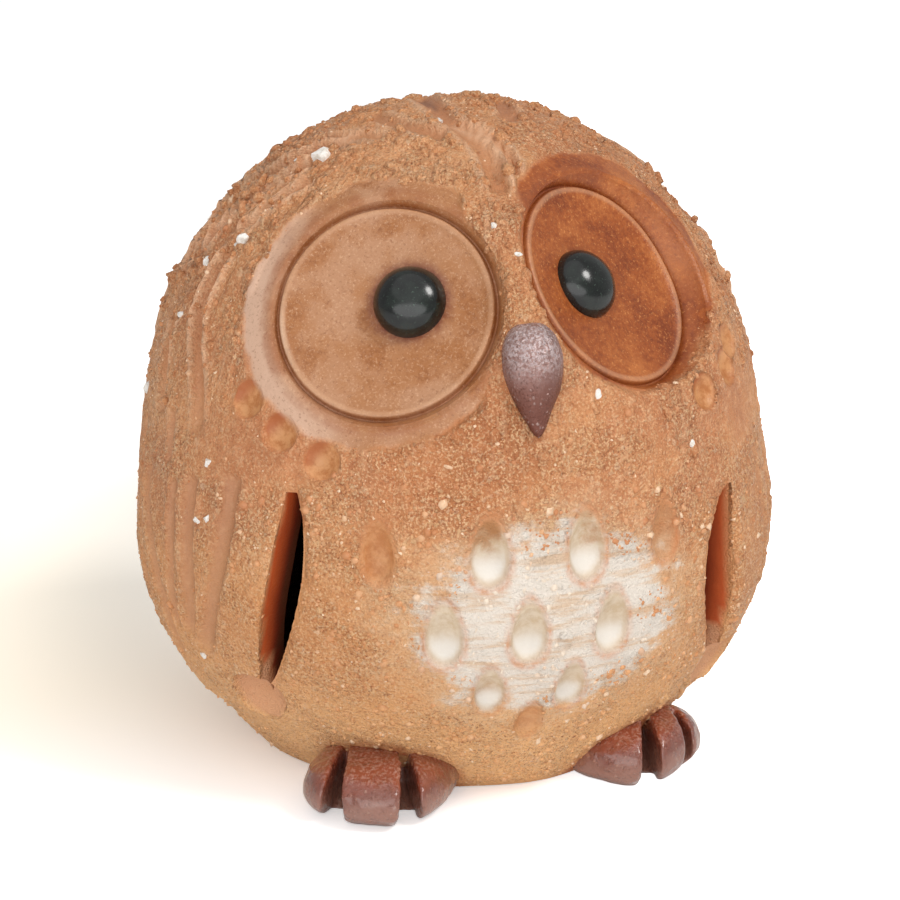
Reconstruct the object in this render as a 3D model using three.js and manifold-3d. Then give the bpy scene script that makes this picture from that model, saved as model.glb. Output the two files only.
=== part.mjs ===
// Hollow stoneware owl figurine, in millimetres, +Z up, standing on the plane z = 0.
// The owl looks along -Y. A bearing is counted in degrees from there, positive to +X, the owl's left.
import * as THREE from "three";
import { mergeVertices } from "three/addons/utils/BufferGeometryUtils.js";
import Module from "manifold-3d";

const wasm = await Module();
wasm.setup();

// Body: an egg that stands on a flat ring at its blunt end
const bodyHeight = 120;
const bodyRadius = 58.2;
const girthHeight = 41.7;
const baseRadius = 36.5;
const crownPower = 2.48;
const hipTaper = 1.8;
const wall = 6;
const ventRadius = 11;

// Clearance between a piece and the wall that it sits on
const seatGap = 0.3;

// Brow: the crest of clay that runs from the beak up between the eye discs
const browLift = 2.4;
const browBearing = 2;
const browSpread = 7;
const browDrop = 26;
const browHalfLength = 19;

// Eye discs: round impressions of one stamp. Each is turned and pitched by hand, and lies a depth
// below the body's surface, at a drop below the crown.
const discRadius = 18.6;
const discHollow = 1.1;
const grooveWidth = 0.9;
const grooveDepth = 0.7;
const rimSlope = 1.9;
const rimHeight = 2.2;
const rimFlare = 1.2;
const rightEye = { bearing: -29.2, drop: 27.5, depth: 5, turn: -26.7, pitch: 30.5, beadIn: 3.7, beadUp: 2.2 };
const leftEye = { bearing: 28.4, drop: 24.5, depth: 5.7, turn: 37.7, pitch: 33.3, beadIn: 4.8, beadUp: 1.1 };

// Eye beads: flattened glossy domes set in the discs, nearer to the beak than the middle
const beadRadius = 6.35;
const beadRise = 4.7;

// Beak: a teardrop, tip down, pressed against the face
const beakLength = 19.8;
const beakHalfWidth = 5.3;
const beakThickness = 4.5;
const beakWidestAt = 0.7;
const beakFullness = 0.85;
const beakBearing = 0.6;
const beakTipDrop = 48.7;
const beakTipProud = 1;
const beakTopProud = 1.6;

// Wings: the wall behind one slanting cut on each side, pushed out. The cut is a lens that leans
// back as it goes down. Its front edge is bowed more than its rear edge.
const wingLift = 2;
const wingFrontLead = 1;
const wingFrontBlend = 2;
const wingTipHeight = 14.5;
const wingTipBlend = 1;
const wingTopBlend = 15;
const wingBackStart = 72;
const wingBackEnd = 108;
const rightWing = {
  side: -1,
  topBearing: 43.8,
  topHeight: 60.5,
  footBearing: 53,
  footHeight: 20,
  frontBow: 7.4,
  rearBow: 0.7,
};
const leftWing = {
  side: 1,
  topBearing: 43.4,
  topHeight: 56.4,
  footBearing: 50,
  footHeight: 20,
  frontBow: 9.4,
  rearBow: 1.6,
};
const wings = [rightWing, leftWing];

// Scoop: the smooth facet where the cutting tool left the wall below each wing cut
const scoopRadius = 9;
const scoopDepth = 2.2;
const scoopBack = 1;
const scoopHeight = 19.6;

// Breast dimples: rows of teardrops that make a triangle, point down
const dimpleHalfWidth = 4.6;
const dimpleHalfLength = 7;
const dimpleDepth = 1.7;
const dimpleTaper = 0.35;
const dimpleRows = [
  { height: 51.8, bearings: [-26.9, -8, 9.1, 25.1], size: 1 },
  { height: 37, bearings: [-15.7, -1.1, 14.4], size: 0.95 },
  { height: 25.5, bearings: [-7.5, 7.8], size: 0.8 },
  { height: 18.3, bearings: [0.9], size: 0.55 },
];

// Cheek dimples: round tool marks below the outer side of each eye disc
const cheekRadius = 3.4;
const cheekDepth = 1.3;
const cheekMarks = [
  { bearing: -54.1, drop: 45.1 },
  { bearing: -46, drop: 49.5 },
  { bearing: -37.4, drop: 53.5 },
  { bearing: 54.2, drop: 40.5 },
  { bearing: 49.6, drop: 44.2 },
  { bearing: 39.5, drop: 46.5 },
];

// Comb marks: shallow grooves that a round-ended tool left on its way down from the crown, over the
// wings and the back. Each runs through places that have a bearing and a drop below the crown, and
// comes out of the clay at its ends.
const combRadius = 2.5;
const combDepth = 1;
const combRunOut = 0.3;
const combStep = 9;
const combMarks = [
  [[-60, 4.5], [-76, 7.6], [-84, 11], [-94, 14.4], [-100, 21], [-96, 27], [-91, 32]],
  [[-75, 23], [-76, 29], [-75.6, 33], [-73.5, 37], [-71, 41], [-68, 47], [-66, 54]],
  [[-65, 60], [-65, 69], [-65, 76], [-65.5, 84], [-67.6, 91]],
  [[-54.5, 58], [-55, 63], [-55.5, 67], [-56.6, 74], [-58, 79], [-61, 87], [-65, 94]],
  [[-83, 62], [-79, 73], [-76, 81], [-74.5, 91], [-76, 99]],
  [[-86.5, 37], [-84.5, 45], [-80.5, 53]],
  [[-90, 2], [-44, 2.2], [-17, 3.4]],
  [[-150, 0.7], [-22, 1.1], [-5.3, 3], [0, 5], [1, 7.2], [0.5, 11]],
  [[95, 0.7], [62, 0.9], [27, 2.2]],
  [[100, 8], [97, 16], [92, 24], [88, 34]],
  [[78, 24], [76, 33], [73, 41], [68, 50], [66, 58]],
  [[66, 62], [65, 70], [66, 80], [68, 92]],
  [[57, 60], [57, 68], [59, 78], [62, 88], [66, 94]],
  [[86, 46], [82, 60], [79, 74], [77, 88], [78, 98]],
  [[104, 17], [103, 34], [102, 52], [101, 70]],
  [[119, 9], [121, 26], [123, 43], [125, 60]],
  [[134, 14], [133, 36], [132, 58], [131, 80]],
  [[150, 8], [152, 25], [154, 42], [156, 59]],
  [[165, 18], [164, 40], [163, 62], [162, 84]],
  [[180, 7], [181, 24], [182, 41], [183, 58]],
  [[196, 15], [195, 37], [194, 59], [193, 81]],
  [[211, 9], [213, 26], [215, 43], [217, 60]],
  [[226, 17], [225, 39], [224, 61], [223, 83]],
  [[241, 8], [243, 25], [245, 42], [247, 59]],
];

// Feet: a lump each, squarer than an ellipse, cut into three toes by two notches that open to the
// front and fall from a web at the heel down through the sole. The lump's middle lies a sink inside
// the body's surface, taken at the height of the foot. The notches aim at a bearing of their own and
// lie apart, and a shift moves the middle toe across that aim to the owl's left.
const footHeight = 11;
const footBelly = 4;
const footUndercut = 1.4;
const footFullness = 0.8;
const footSquareness = 2.6;
const notchGrowth = 0.3;
const notchRoot = 1.2;
const notchBehind = 1;
const notchLength = 24;
const notchFan = 8.5;
const notchFloor = 3;
const notchFall = 0.5;
const rightFootPlace = {
  bearing: -31, sink: 2.9, halfWidth: 13, reach: 15.8, aim: -18, shift: -1.5, apart: 9.6,
};
const leftFootPlace = {
  bearing: 39, sink: 4.4, halfWidth: 13.2, reach: 11.2, aim: -2, shift: 4.9, apart: 6,
};

// Fineness of the round faces
const bodySides = 64;
const bodyHipRings = 9;
const bodyCrownRings = 16;
const cavitySides = 36;
const cavityHipRings = 5;
const cavityCrownRings = 10;
const discSides = 40;
const smallSides = 20;
const footSides = 28;
const markSides = 14;
const combSides = 8;

const { degToRad, radToDeg, smoothstep } = THREE.MathUtils;

// Radius of the egg at a height. The egg grown by an offset is the surface that lies that far outside.
function eggRadius(height, grow = 0) {
  const widest = bodyRadius + grow;
  if (height >= girthHeight) {
    const rise = Math.min((height - girthHeight) / (bodyHeight + grow - girthHeight), 1);
    return widest * Math.sqrt(1 - rise ** crownPower);
  }
  const fall = (girthHeight - height) / girthHeight;
  const closing = 1 - ((baseRadius + grow) / widest) ** (1 / hipTaper);
  return widest * (1 - closing * fall ** 2) ** hipTaper;
}

function eggPoint(bearing, height, grow = 0) {
  const angle = degToRad(bearing);
  const radius = eggRadius(height, grow);
  return new THREE.Vector3(radius * Math.sin(angle), -radius * Math.cos(angle), height);
}

// Bearing of a wing cut's chord at a height
function cutBearing(wing, height) {
  const share = (height - wing.footHeight) / (wing.topHeight - wing.footHeight);
  return THREE.MathUtils.lerp(wing.footBearing, wing.topBearing, THREE.MathUtils.clamp(share, 0, 1));
}

// How far the wings and the brow stand out from the egg
function lift(bearing, height) {
  const wing = bearing < 0 ? rightWing : leftWing;
  const aside = Math.abs(bearing);
  const edge = cutBearing(wing, height) - wingFrontLead;
  const behind = smoothstep(aside, edge - wingFrontBlend, edge + wingFrontBlend);
  const back = 1 - smoothstep(aside, wingBackStart, wingBackEnd);
  const above = smoothstep(height, wingTipHeight - wingTipBlend, wingTipHeight + wingTipBlend);
  const below = 1 - smoothstep(height, wing.topHeight - wingTopBlend, wing.topHeight + wingTopBlend);
  const across = Math.exp(-(((bearing - browBearing) / browSpread) ** 2));
  const offBrow = Math.abs(height - (bodyHeight - browDrop));
  const along = 1 - smoothstep(offBrow, browHalfLength / 2, browHalfLength);
  return wingLift * behind * back * above * below + browLift * across * along;
}

// A closed three.js geometry as a solid that can be joined and cut
function toSolid(geometry) {
  const plain = geometry.clone();
  plain.deleteAttribute("normal");
  plain.deleteAttribute("uv");
  const merged = mergeVertices(plain, 1e-5);
  const corners = merged.index.array;
  const kept = [];
  for (let i = 0; i < corners.length; i += 3) {
    const [a, b, c] = [corners[i], corners[i + 1], corners[i + 2]];
    if (a !== b && b !== c && c !== a) {
      kept.push(a, b, c);
    }
  }
  const vertProperties = new Float32Array(merged.attributes.position.array);
  const triVerts = new Uint32Array(kept);
  return new wasm.Manifold(new wasm.Mesh({ numProp: 3, vertProperties, triVerts }));
}

function toGeometry(solid) {
  const mesh = solid.getMesh();
  const geometry = new THREE.BufferGeometry();
  geometry.setAttribute("position", new THREE.BufferAttribute(new Float32Array(mesh.vertProperties), 3));
  geometry.setIndex(new THREE.BufferAttribute(new Uint32Array(mesh.triVerts), 1));
  geometry.computeVertexNormals();
  return geometry;
}

// A turned form whose axis is +Z, from outline points (radius, height) that go up its outside
function turned(outline, sides) {
  const geometry = new THREE.LatheGeometry(outline, sides);
  geometry.rotateX(Math.PI / 2);
  return geometry;
}

// The egg, grown by an offset, from a floor height up to its crown
function eggGeometry(grow, floor, sides, hipRings, crownRings) {
  const outline = [new THREE.Vector2(0, floor)];
  for (let i = 0; i < hipRings; i++) {
    const height = floor + ((girthHeight - floor) * i) / hipRings;
    outline.push(new THREE.Vector2(eggRadius(height, grow), height));
  }
  const rise = bodyHeight + grow - girthHeight;
  for (let i = 0; i < crownRings; i++) {
    const height = girthHeight + rise * Math.sin((Math.PI / 2) * (i / crownRings));
    outline.push(new THREE.Vector2(eggRadius(height, grow), height));
  }
  outline.push(new THREE.Vector2(0, bodyHeight + grow));
  return turned(outline, sides);
}

// The outer skin with its wings and brow raised
function skinSolid(grow, floor) {
  const geometry = eggGeometry(grow, floor, bodySides, bodyHipRings, bodyCrownRings);
  const position = geometry.attributes.position;
  for (let i = 0; i < position.count; i++) {
    const x = position.getX(i);
    const y = position.getY(i);
    const radius = Math.hypot(x, y);
    if (radius > 1) {
      const bearing = radToDeg(Math.atan2(x, -y));
      const scale = 1 + lift(bearing, position.getZ(i)) / radius;
      position.setXY(i, x * scale, y * scale);
    }
  }
  return toSolid(geometry);
}

// Frame of an eye disc: x along the disc to the owl's left, y up the disc, z out of it
function discFrame(eye, outward = 0) {
  const turn = degToRad(eye.turn);
  const pitch = degToRad(eye.pitch);
  const facing = new THREE.Vector3(Math.sin(turn), -Math.cos(turn), 0);
  const out = facing.clone().multiplyScalar(Math.cos(pitch)).add(new THREE.Vector3(0, 0, Math.sin(pitch)));
  const across = new THREE.Vector3(Math.cos(turn), Math.sin(turn), 0);
  const up = new THREE.Vector3().crossVectors(out, across);
  const centre = eggPoint(eye.bearing, bodyHeight - eye.drop).addScaledVector(out, outward - eye.depth);
  return new THREE.Matrix4().makeBasis(across, up, out).setPosition(centre);
}

// Depth of the disc's hollow face at a distance from its centre
function hollowAt(distance) {
  return -discHollow * (1 - (distance / discRadius) ** 2);
}

// The stamp: hollow face, groove around it, and a sloped rim that flares out of the clay
function stampSolid(eye, outward) {
  const outline = [];
  const faceRings = 4;
  for (let i = 0; i <= faceRings; i++) {
    const distance = (discRadius * i) / faceRings;
    outline.push(new THREE.Vector2(distance, hollowAt(distance)));
  }
  const rimFoot = discRadius + grooveWidth;
  const top = eye.depth + browLift + rimHeight;
  outline.push(new THREE.Vector2(discRadius + grooveWidth / 2, -grooveDepth));
  outline.push(new THREE.Vector2(rimFoot, -grooveDepth / 2));
  outline.push(new THREE.Vector2(rimFoot + rimSlope, rimHeight));
  outline.push(new THREE.Vector2(rimFoot + rimSlope + rimFlare, top));
  outline.push(new THREE.Vector2(0, top));
  return toSolid(turned(outline, discSides).applyMatrix4(discFrame(eye, outward)));
}

// Clay that stays behind a disc, so that the wall keeps its thickness there
function backingSolid(eye) {
  const radius = discRadius + grooveWidth + rimSlope + wall / 2;
  const foot = -wall - discHollow;
  const top = eye.depth + wall;
  const outline = [
    new THREE.Vector2(0, foot),
    new THREE.Vector2(radius, foot),
    new THREE.Vector2(radius, top),
    new THREE.Vector2(0, top),
  ];
  return toSolid(turned(outline, cavitySides).applyMatrix4(discFrame(eye)));
}

// Frame on the egg: x to the owl's left, y up the surface, z out of it
function eggFrame(bearing, height, outward = 0) {
  const step = 0.5;
  const across = new THREE.Vector3(Math.cos(degToRad(bearing)), Math.sin(degToRad(bearing)), 0);
  const low = eggPoint(bearing, height - step);
  const up = eggPoint(bearing, height + step).sub(low).normalize();
  const out = new THREE.Vector3().crossVectors(across, up);
  const centre = eggPoint(bearing, height).addScaledVector(out, outward);
  return new THREE.Matrix4().makeBasis(across, up, out).setPosition(centre);
}

// A breast dimple: a ball drawn out along the surface and narrowed towards its top
function dimpleSolid(bearing, height, size) {
  const geometry = new THREE.SphereGeometry(1, markSides, markSides / 2);
  geometry.rotateX(Math.PI / 2);
  const position = geometry.attributes.position;
  const bite = dimpleDepth * size;
  for (let i = 0; i < position.count; i++) {
    const y = position.getY(i);
    const width = dimpleHalfWidth * size * (1 - (dimpleTaper * (y + 1)) / 2);
    position.setXYZ(i, position.getX(i) * width, y * dimpleHalfLength * size, position.getZ(i) * 2 * bite);
  }
  return toSolid(geometry.applyMatrix4(eggFrame(bearing, height, bite)));
}

function ballSolid(radius, depth, bearing, height) {
  const geometry = new THREE.SphereGeometry(radius, markSides, markSides);
  geometry.rotateX(Math.PI / 2);
  return toSolid(geometry.applyMatrix4(eggFrame(bearing, height, radius - depth)));
}

// A round tool mark whose rim on the surface has the given radius
function cheekSolid(mark) {
  const ball = (cheekRadius ** 2 + cheekDepth ** 2) / (2 * cheekDepth);
  return ballSolid(ball, cheekDepth, mark.bearing, bodyHeight - mark.drop);
}

function scoopSolid(wing) {
  return ballSolid(scoopRadius, scoopDepth, wing.side * (wing.footBearing + scoopBack), scoopHeight);
}

// A round rod that is swept along its centre line, from frames that have the outward direction as
// their z and the way along the line as their y
function sweptRod(frames, radius, sides) {
  const corners = [];
  const faces = [];
  const corner = new THREE.Vector3();
  frames.forEach((frame, ring) => {
    for (let i = 0; i < sides; i++) {
      const angle = (2 * Math.PI * (i + 0.5)) / sides;
      corner.set(radius * Math.cos(angle), 0, radius * Math.sin(angle)).applyMatrix4(frame);
      corners.push(corner.x, corner.y, corner.z);
      if (ring > 0) {
        const [here, next] = [ring * sides + i, ring * sides + ((i + 1) % sides)];
        faces.push(here - sides, next, next - sides, here - sides, here, next);
      }
    }
  });
  const last = (frames.length - 1) * sides;
  for (let i = 1; i + 1 < sides; i++) {
    faces.push(0, i, i + 1, last, last + i + 1, last + i);
  }
  const geometry = new THREE.BufferGeometry();
  geometry.setAttribute("position", new THREE.Float32BufferAttribute(corners, 3));
  geometry.setIndex(faces);
  return toSolid(geometry);
}

// A comb mark as a rod that dips into the skin along its way
function combSolid(places) {
  const track = [];
  for (let i = 0; i + 1 < places.length; i++) {
    const [bearing, drop] = places[i];
    const [nextBearing, nextDrop] = places[i + 1];
    const run = eggPoint(bearing, bodyHeight - drop).distanceTo(eggPoint(nextBearing, bodyHeight - nextDrop));
    const steps = Math.max(Math.round(run / combStep), 1);
    for (let k = 0; k < steps; k++) {
      const { lerp } = THREE.MathUtils;
      track.push([lerp(bearing, nextBearing, k / steps), lerp(drop, nextDrop, k / steps)]);
    }
  }
  track.push(places[places.length - 1]);
  const centres = track.map(([bearing, drop], i) => {
    const height = bodyHeight - drop;
    const atEnd = i === 0 || i === track.length - 1;
    const outward = atEnd ? combRadius + combRunOut : combRadius - combDepth;
    const raised = lift(wrapped(bearing), height);
    return new THREE.Vector3(0, 0, outward + raised).applyMatrix4(eggFrame(bearing, height));
  });
  const frames = centres.map((centre, i) => {
    const ahead = centres[Math.min(i + 1, centres.length - 1)];
    const along = ahead.clone().sub(centres[Math.max(i - 1, 0)]).normalize();
    const [bearing, drop] = track[i];
    const out = new THREE.Vector3().setFromMatrixColumn(eggFrame(bearing, bodyHeight - drop), 2);
    const across = along.clone().cross(out).normalize();
    out.crossVectors(across, along);
    return new THREE.Matrix4().makeBasis(across, along, out).setPosition(centre);
  });
  return sweptRod(frames, combRadius, combSides);
}

// A bearing turned into the range from -180 to 180 degrees
function wrapped(bearing) {
  return bearing > 180 ? bearing - 360 : bearing;
}

// The lens that a wing cut takes out of the wall, drawn facing the wall at the cut's middle bearing
function cutSolid(wing) {
  const middle = (wing.topBearing + wing.footBearing) / 2;
  const aside = (bearing) => wing.side * bodyRadius * Math.sin(degToRad(bearing - middle));
  const top = new THREE.Vector2(aside(wing.topBearing), wing.topHeight);
  const foot = new THREE.Vector2(aside(wing.footBearing), wing.footHeight);
  const centre = top.clone().add(foot).multiplyScalar(0.5);
  const shape = new THREE.Shape();
  shape.moveTo(top.x, top.y);
  shape.quadraticCurveTo(centre.x - 2 * wing.side * wing.rearBow, centre.y, foot.x, foot.y);
  shape.quadraticCurveTo(centre.x - 2 * wing.side * wing.frontBow, centre.y, top.x, top.y);
  const inner = bodyRadius - 4 * wall;
  const depth = bodyRadius + wingLift + wall - inner;
  const geometry = new THREE.ExtrudeGeometry(shape, { depth, bevelEnabled: false, curveSegments: 10 });
  geometry.translate(0, 0, inner);
  geometry.rotateX(Math.PI / 2);
  geometry.rotateZ(degToRad(wing.side * middle));
  return toSolid(geometry);
}

function bodyShell() {
  let cavity = toSolid(eggGeometry(-wall, wall, cavitySides, cavityHipRings, cavityCrownRings));
  let body = skinSolid(0, 0);
  for (const eye of [rightEye, leftEye]) {
    cavity = cavity.subtract(backingSolid(eye));
    body = body.subtract(stampSolid(eye, 0));
  }
  for (const row of dimpleRows) {
    for (const bearing of row.bearings) {
      body = body.subtract(dimpleSolid(bearing, row.height, row.size));
    }
  }
  for (const mark of cheekMarks) {
    body = body.subtract(cheekSolid(mark));
  }
  for (const places of combMarks) {
    body = body.subtract(combSolid(places));
  }
  for (const wing of wings) {
    body = body.subtract(cutSolid(wing)).subtract(scoopSolid(wing));
  }
  const vent = new THREE.CylinderGeometry(ventRadius, ventRadius, 3 * wall, cavitySides);
  vent.rotateX(Math.PI / 2);
  return body.subtract(cavity).subtract(toSolid(vent));
}

// What is left of a solid outside the skin, kept clear of it by the seat gap
function clearOfBody(solid) {
  return solid.subtract(skinSolid(seatGap, -wall));
}

function eyeBead(eye, inward) {
  const x = inward * eye.beadIn;
  const y = eye.beadUp;
  const geometry = new THREE.SphereGeometry(1, smallSides, smallSides / 2);
  geometry.rotateX(Math.PI / 2);
  geometry.scale(beadRadius, beadRadius, beadRise);
  geometry.translate(x, y, hollowAt(Math.hypot(x, y)));
  const bead = toSolid(geometry.applyMatrix4(discFrame(eye)));
  return bead.intersect(stampSolid(eye, seatGap));
}

function beak() {
  const outline = [new THREE.Vector2(0, 0)];
  const rings = 12;
  for (let i = 1; i < rings; i++) {
    const share = i / rings;
    const flank = Math.sin((Math.PI / 2) * Math.min(share / beakWidestAt, 1)) ** beakFullness;
    const over = Math.max((share - beakWidestAt) / (1 - beakWidestAt), 0);
    outline.push(new THREE.Vector2(beakHalfWidth * flank * Math.sqrt(1 - over ** 2), beakLength * share));
  }
  outline.push(new THREE.Vector2(0, beakLength));
  const geometry = new THREE.LatheGeometry(outline, smallSides);
  geometry.scale(1, 1, beakThickness / beakHalfWidth);
  const tipHeight = bodyHeight - beakTipDrop;
  const tip = eggPoint(beakBearing, tipHeight, beakTipProud);
  const top = eggPoint(beakBearing, tipHeight + beakLength, beakTopProud);
  const across = new THREE.Vector3(Math.cos(degToRad(beakBearing)), Math.sin(degToRad(beakBearing)), 0);
  const up = top.sub(tip).normalize();
  const out = new THREE.Vector3().crossVectors(across, up);
  geometry.applyMatrix4(new THREE.Matrix4().makeBasis(across, up, out).setPosition(tip));
  return clearOfBody(toSolid(geometry));
}

// One notch between two toes, narrow towards the heel. It runs on past the toes' ends, and its floor
// falls on the way there.
function notchSolid(place, middle, side) {
  const mouth = notchRoot + notchGrowth * notchLength;
  const shape = new THREE.Shape();
  shape.moveTo(-notchRoot / 2, 0);
  shape.lineTo(notchRoot / 2, 0);
  shape.lineTo(mouth / 2, notchLength);
  shape.lineTo(-mouth / 2, notchLength);
  const depth = 2 * footHeight;
  const geometry = new THREE.ExtrudeGeometry(shape, { depth, bevelEnabled: false });
  const position = geometry.attributes.position;
  for (let i = 0; i < position.count; i++) {
    position.setZ(i, position.getZ(i) + notchFloor - notchFall * position.getY(i));
  }
  geometry.rotateZ(degToRad(place.aim + side * notchFan) + Math.PI);
  const aside = eggDirection(place.aim + 90).multiplyScalar(place.shift + (side * place.apart) / 2);
  const root = middle.clone().add(aside).addScaledVector(eggDirection(place.aim), -notchBehind);
  geometry.translate(root.x, root.y, 0);
  return toSolid(geometry);
}

// The lump is a ball flattened to the floor, widest at the height of its belly
function foot(place) {
  const outline = [new THREE.Vector2(0, 0)];
  const rings = 8;
  const rise = footHeight - footBelly;
  const belly = footBelly + footUndercut;
  const start = -Math.asin(footBelly / belly);
  for (let i = 0; i < rings; i++) {
    const angle = THREE.MathUtils.lerp(start, Math.PI / 2, i / rings);
    const height = angle < 0 ? belly * Math.sin(angle) : rise * Math.sin(angle) ** footFullness;
    outline.push(new THREE.Vector2(Math.cos(angle) ** footFullness, footBelly + height));
  }
  outline.push(new THREE.Vector2(0, footHeight));
  const geometry = turned(outline, footSides);
  const position = geometry.attributes.position;
  for (let i = 0; i < position.count; i++) {
    const [x, y] = [position.getX(i), position.getY(i)];
    const radius = Math.hypot(x, y);
    if (radius > 0) {
      const across = Math.abs(x / radius) ** footSquareness;
      const full = (across + Math.abs(y / radius) ** footSquareness) ** (-1 / footSquareness);
      position.setXY(i, x * full * place.halfWidth, y * full * place.reach);
    }
  }
  const middle = eggDirection(place.bearing).multiplyScalar(eggRadius(footHeight) - place.sink);
  geometry.rotateZ(degToRad(place.bearing));
  geometry.translate(middle.x, middle.y, 0);
  let lump = toSolid(geometry);
  for (const side of [-1, 1]) {
    lump = lump.subtract(notchSolid(place, middle, side));
  }
  return clearOfBody(lump);
}

function eggDirection(bearing) {
  return new THREE.Vector3(Math.sin(degToRad(bearing)), -Math.cos(degToRad(bearing)), 0);
}

const coarseClay = new THREE.MeshStandardMaterial({ color: 0xbd8558, roughness: 0.85, metalness: 0 });
const blackGlaze = new THREE.MeshStandardMaterial({ color: 0x1d2622, roughness: 0.08, metalness: 0 });
const beakGlaze = new THREE.MeshStandardMaterial({ color: 0x6e5148, roughness: 0.35, metalness: 0.2 });
const ironGlaze = new THREE.MeshStandardMaterial({ color: 0x6b3a28, roughness: 0.25, metalness: 0 });

const owl = new THREE.Group();

function addPiece(name, solid, material) {
  const mesh = new THREE.Mesh(toGeometry(solid), material);
  mesh.name = name;
  owl.add(mesh);
}

addPiece("body_shell", bodyShell(), coarseClay);
addPiece("right_eye_bead", eyeBead(rightEye, 1), blackGlaze);
addPiece("left_eye_bead", eyeBead(leftEye, -1), blackGlaze);
addPiece("beak", beak(), beakGlaze);
addPiece("right_foot", foot(rightFootPlace), ironGlaze);
addPiece("left_foot", foot(leftFootPlace), ironGlaze);

export default owl;
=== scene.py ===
"""Looks of the hollow stoneware owl: coarse clay body, glazed beads, beak and feet."""

import math
import random

import bpy
import numpy as np
from mathutils import Matrix, Vector, noise


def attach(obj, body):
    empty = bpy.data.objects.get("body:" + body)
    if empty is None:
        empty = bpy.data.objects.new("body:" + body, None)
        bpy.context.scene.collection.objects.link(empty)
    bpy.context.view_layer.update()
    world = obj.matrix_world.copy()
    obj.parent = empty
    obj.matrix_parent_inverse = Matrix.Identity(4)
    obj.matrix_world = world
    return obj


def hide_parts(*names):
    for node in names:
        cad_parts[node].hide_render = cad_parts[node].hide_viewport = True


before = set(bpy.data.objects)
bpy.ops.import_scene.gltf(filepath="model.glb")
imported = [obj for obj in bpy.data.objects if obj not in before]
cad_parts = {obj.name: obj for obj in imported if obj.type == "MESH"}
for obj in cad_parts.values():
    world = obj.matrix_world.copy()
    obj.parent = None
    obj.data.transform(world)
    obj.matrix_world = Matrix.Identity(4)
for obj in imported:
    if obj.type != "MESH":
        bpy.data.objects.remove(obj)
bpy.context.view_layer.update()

# Shapes are drawn in millimetres, +Z up, the owl looking along -Y, and scaled to metres when done.
# A bearing is counted in degrees from -Y, positive to +X, the owl's left.
millimetre = 0.001

body_height = 120.0
body_radius = 58.2
girth_height = 41.7
base_radius = 36.5
crown_power = 2.48
hip_taper = 1.8
wall = 6.0
vent_radius = 11.0

brow_lift = 2.4
brow_bearing = 2.0
brow_spread = 7.0
brow_drop = 26.0
brow_half_length = 19.0

disc_radius = 18.6
disc_hollow = 1.1
backing_radius = 24.4
rim_foot = 19.5
right_eye = dict(bearing=-29.2, drop=27.5, depth=5.0, turn=-26.7, pitch=30.5, bead=(3.7, 2.2))
left_eye = dict(bearing=28.4, drop=24.5, depth=5.7, turn=37.7, pitch=33.3, bead=(-4.8, 1.1))
eyes = {"right": right_eye, "left": left_eye}
bead_radius = 6.35
bead_rise = 4.7

beak_length = 19.8
beak_half_width = 5.3
beak_thickness = 4.5
beak_bearing = 0.6
beak_tip_drop = 48.7

wing_lift = 2.0
wing_tip_height = 14.5
right_wing = dict(side=-1, top=(43.8, 60.5), foot=(53.0, 20.0), front=6.2, rear=0.7, blunt=1.7)
left_wing = dict(side=1, top=(43.4, 56.4), foot=(50.0, 20.0), front=9.0, rear=1.6, blunt=0.8)
wings = (right_wing, left_wing)
lens_steps = 22

scoop_radius = 9.0
scoop_depth = 1.5
scoop_height = 19.6
scoop_aside = 1

# Press marks: half width, half height and depth
dimple_half_width = 4.6
dimple_half_height = 7.0
dimple_bite = 1.8
cheek_radius = 3.4
cheek_depth = 1.3

# Breast dimples: bearing, height and size
dimples = [(-26.9, 51.8, 0.86), (-8, 51.8, 1), (9.1, 51.8, 1), (25.1, 51.8, 0.84)]
dimples += [(-15.7, 37, 0.95), (-1.1, 37, 0.95), (14.4, 37, 0.95)]
dimples += [(-7.5, 25.5, 0.8), (7.8, 25.5, 0.8), (0.9, 18.6, 0.68)]

# Cheek marks: bearing and drop below the crown
cheek_marks = [(-54.1, 45.1), (-46, 49.5), (-37.4, 53.5)]
cheek_marks += [(54.2, 40.5), (49.6, 44.2), (39.5, 46.5)]

# The patch of white slip on the breast
slip_aside = 3.0
slip_height = 38.5
slip_half_width = 23.0
slip_half_height = 16.5

foot_height = 11.0
foot_belly = 4.0
foot_undercut = 1.4
foot_squareness = 2.6
toe_grid = 0.38
notch_growth = 0.3
notch_root = 1.2
notch_behind = 1.0
notch_length = 24.0
notch_fan = 8.5
notch_floor = 3.0
notch_fall = 0.5
right_foot = dict(bearing=-31, sink=2.9, half_width=13, reach=15.8, aim=-18, shift=-1.5, apart=9.6)
left_foot = dict(bearing=39, sink=4.4, half_width=13.2, reach=11.2, aim=-2, shift=4.9, apart=6)


# Handling of pieces
def let_go():
    active = bpy.context.view_layer.objects.active
    if active and active.mode != "OBJECT":
        bpy.ops.object.mode_set(mode="OBJECT")
    bpy.ops.object.select_all(action="DESELECT")


def hold(piece):
    let_go()
    piece.select_set(True)
    bpy.context.view_layer.objects.active = piece


def open_mesh(piece):
    hold(piece)
    bpy.ops.object.mode_set(mode="EDIT")
    bpy.ops.mesh.select_all(action="SELECT")


def close_mesh():
    bpy.ops.object.mode_set(mode="OBJECT")


def close_outwards():
    """Turns every face outwards, then leaves edit mode."""
    bpy.ops.mesh.select_all(action="SELECT")
    bpy.ops.mesh.normals_make_consistent(inside=False)
    close_mesh()


def in_scene(name, data):
    piece = bpy.data.objects.new(name, data)
    bpy.context.scene.collection.objects.link(piece)
    return piece


def smoothed(piece):
    hold(piece)
    bpy.ops.object.shade_smooth()
    return piece


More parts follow.
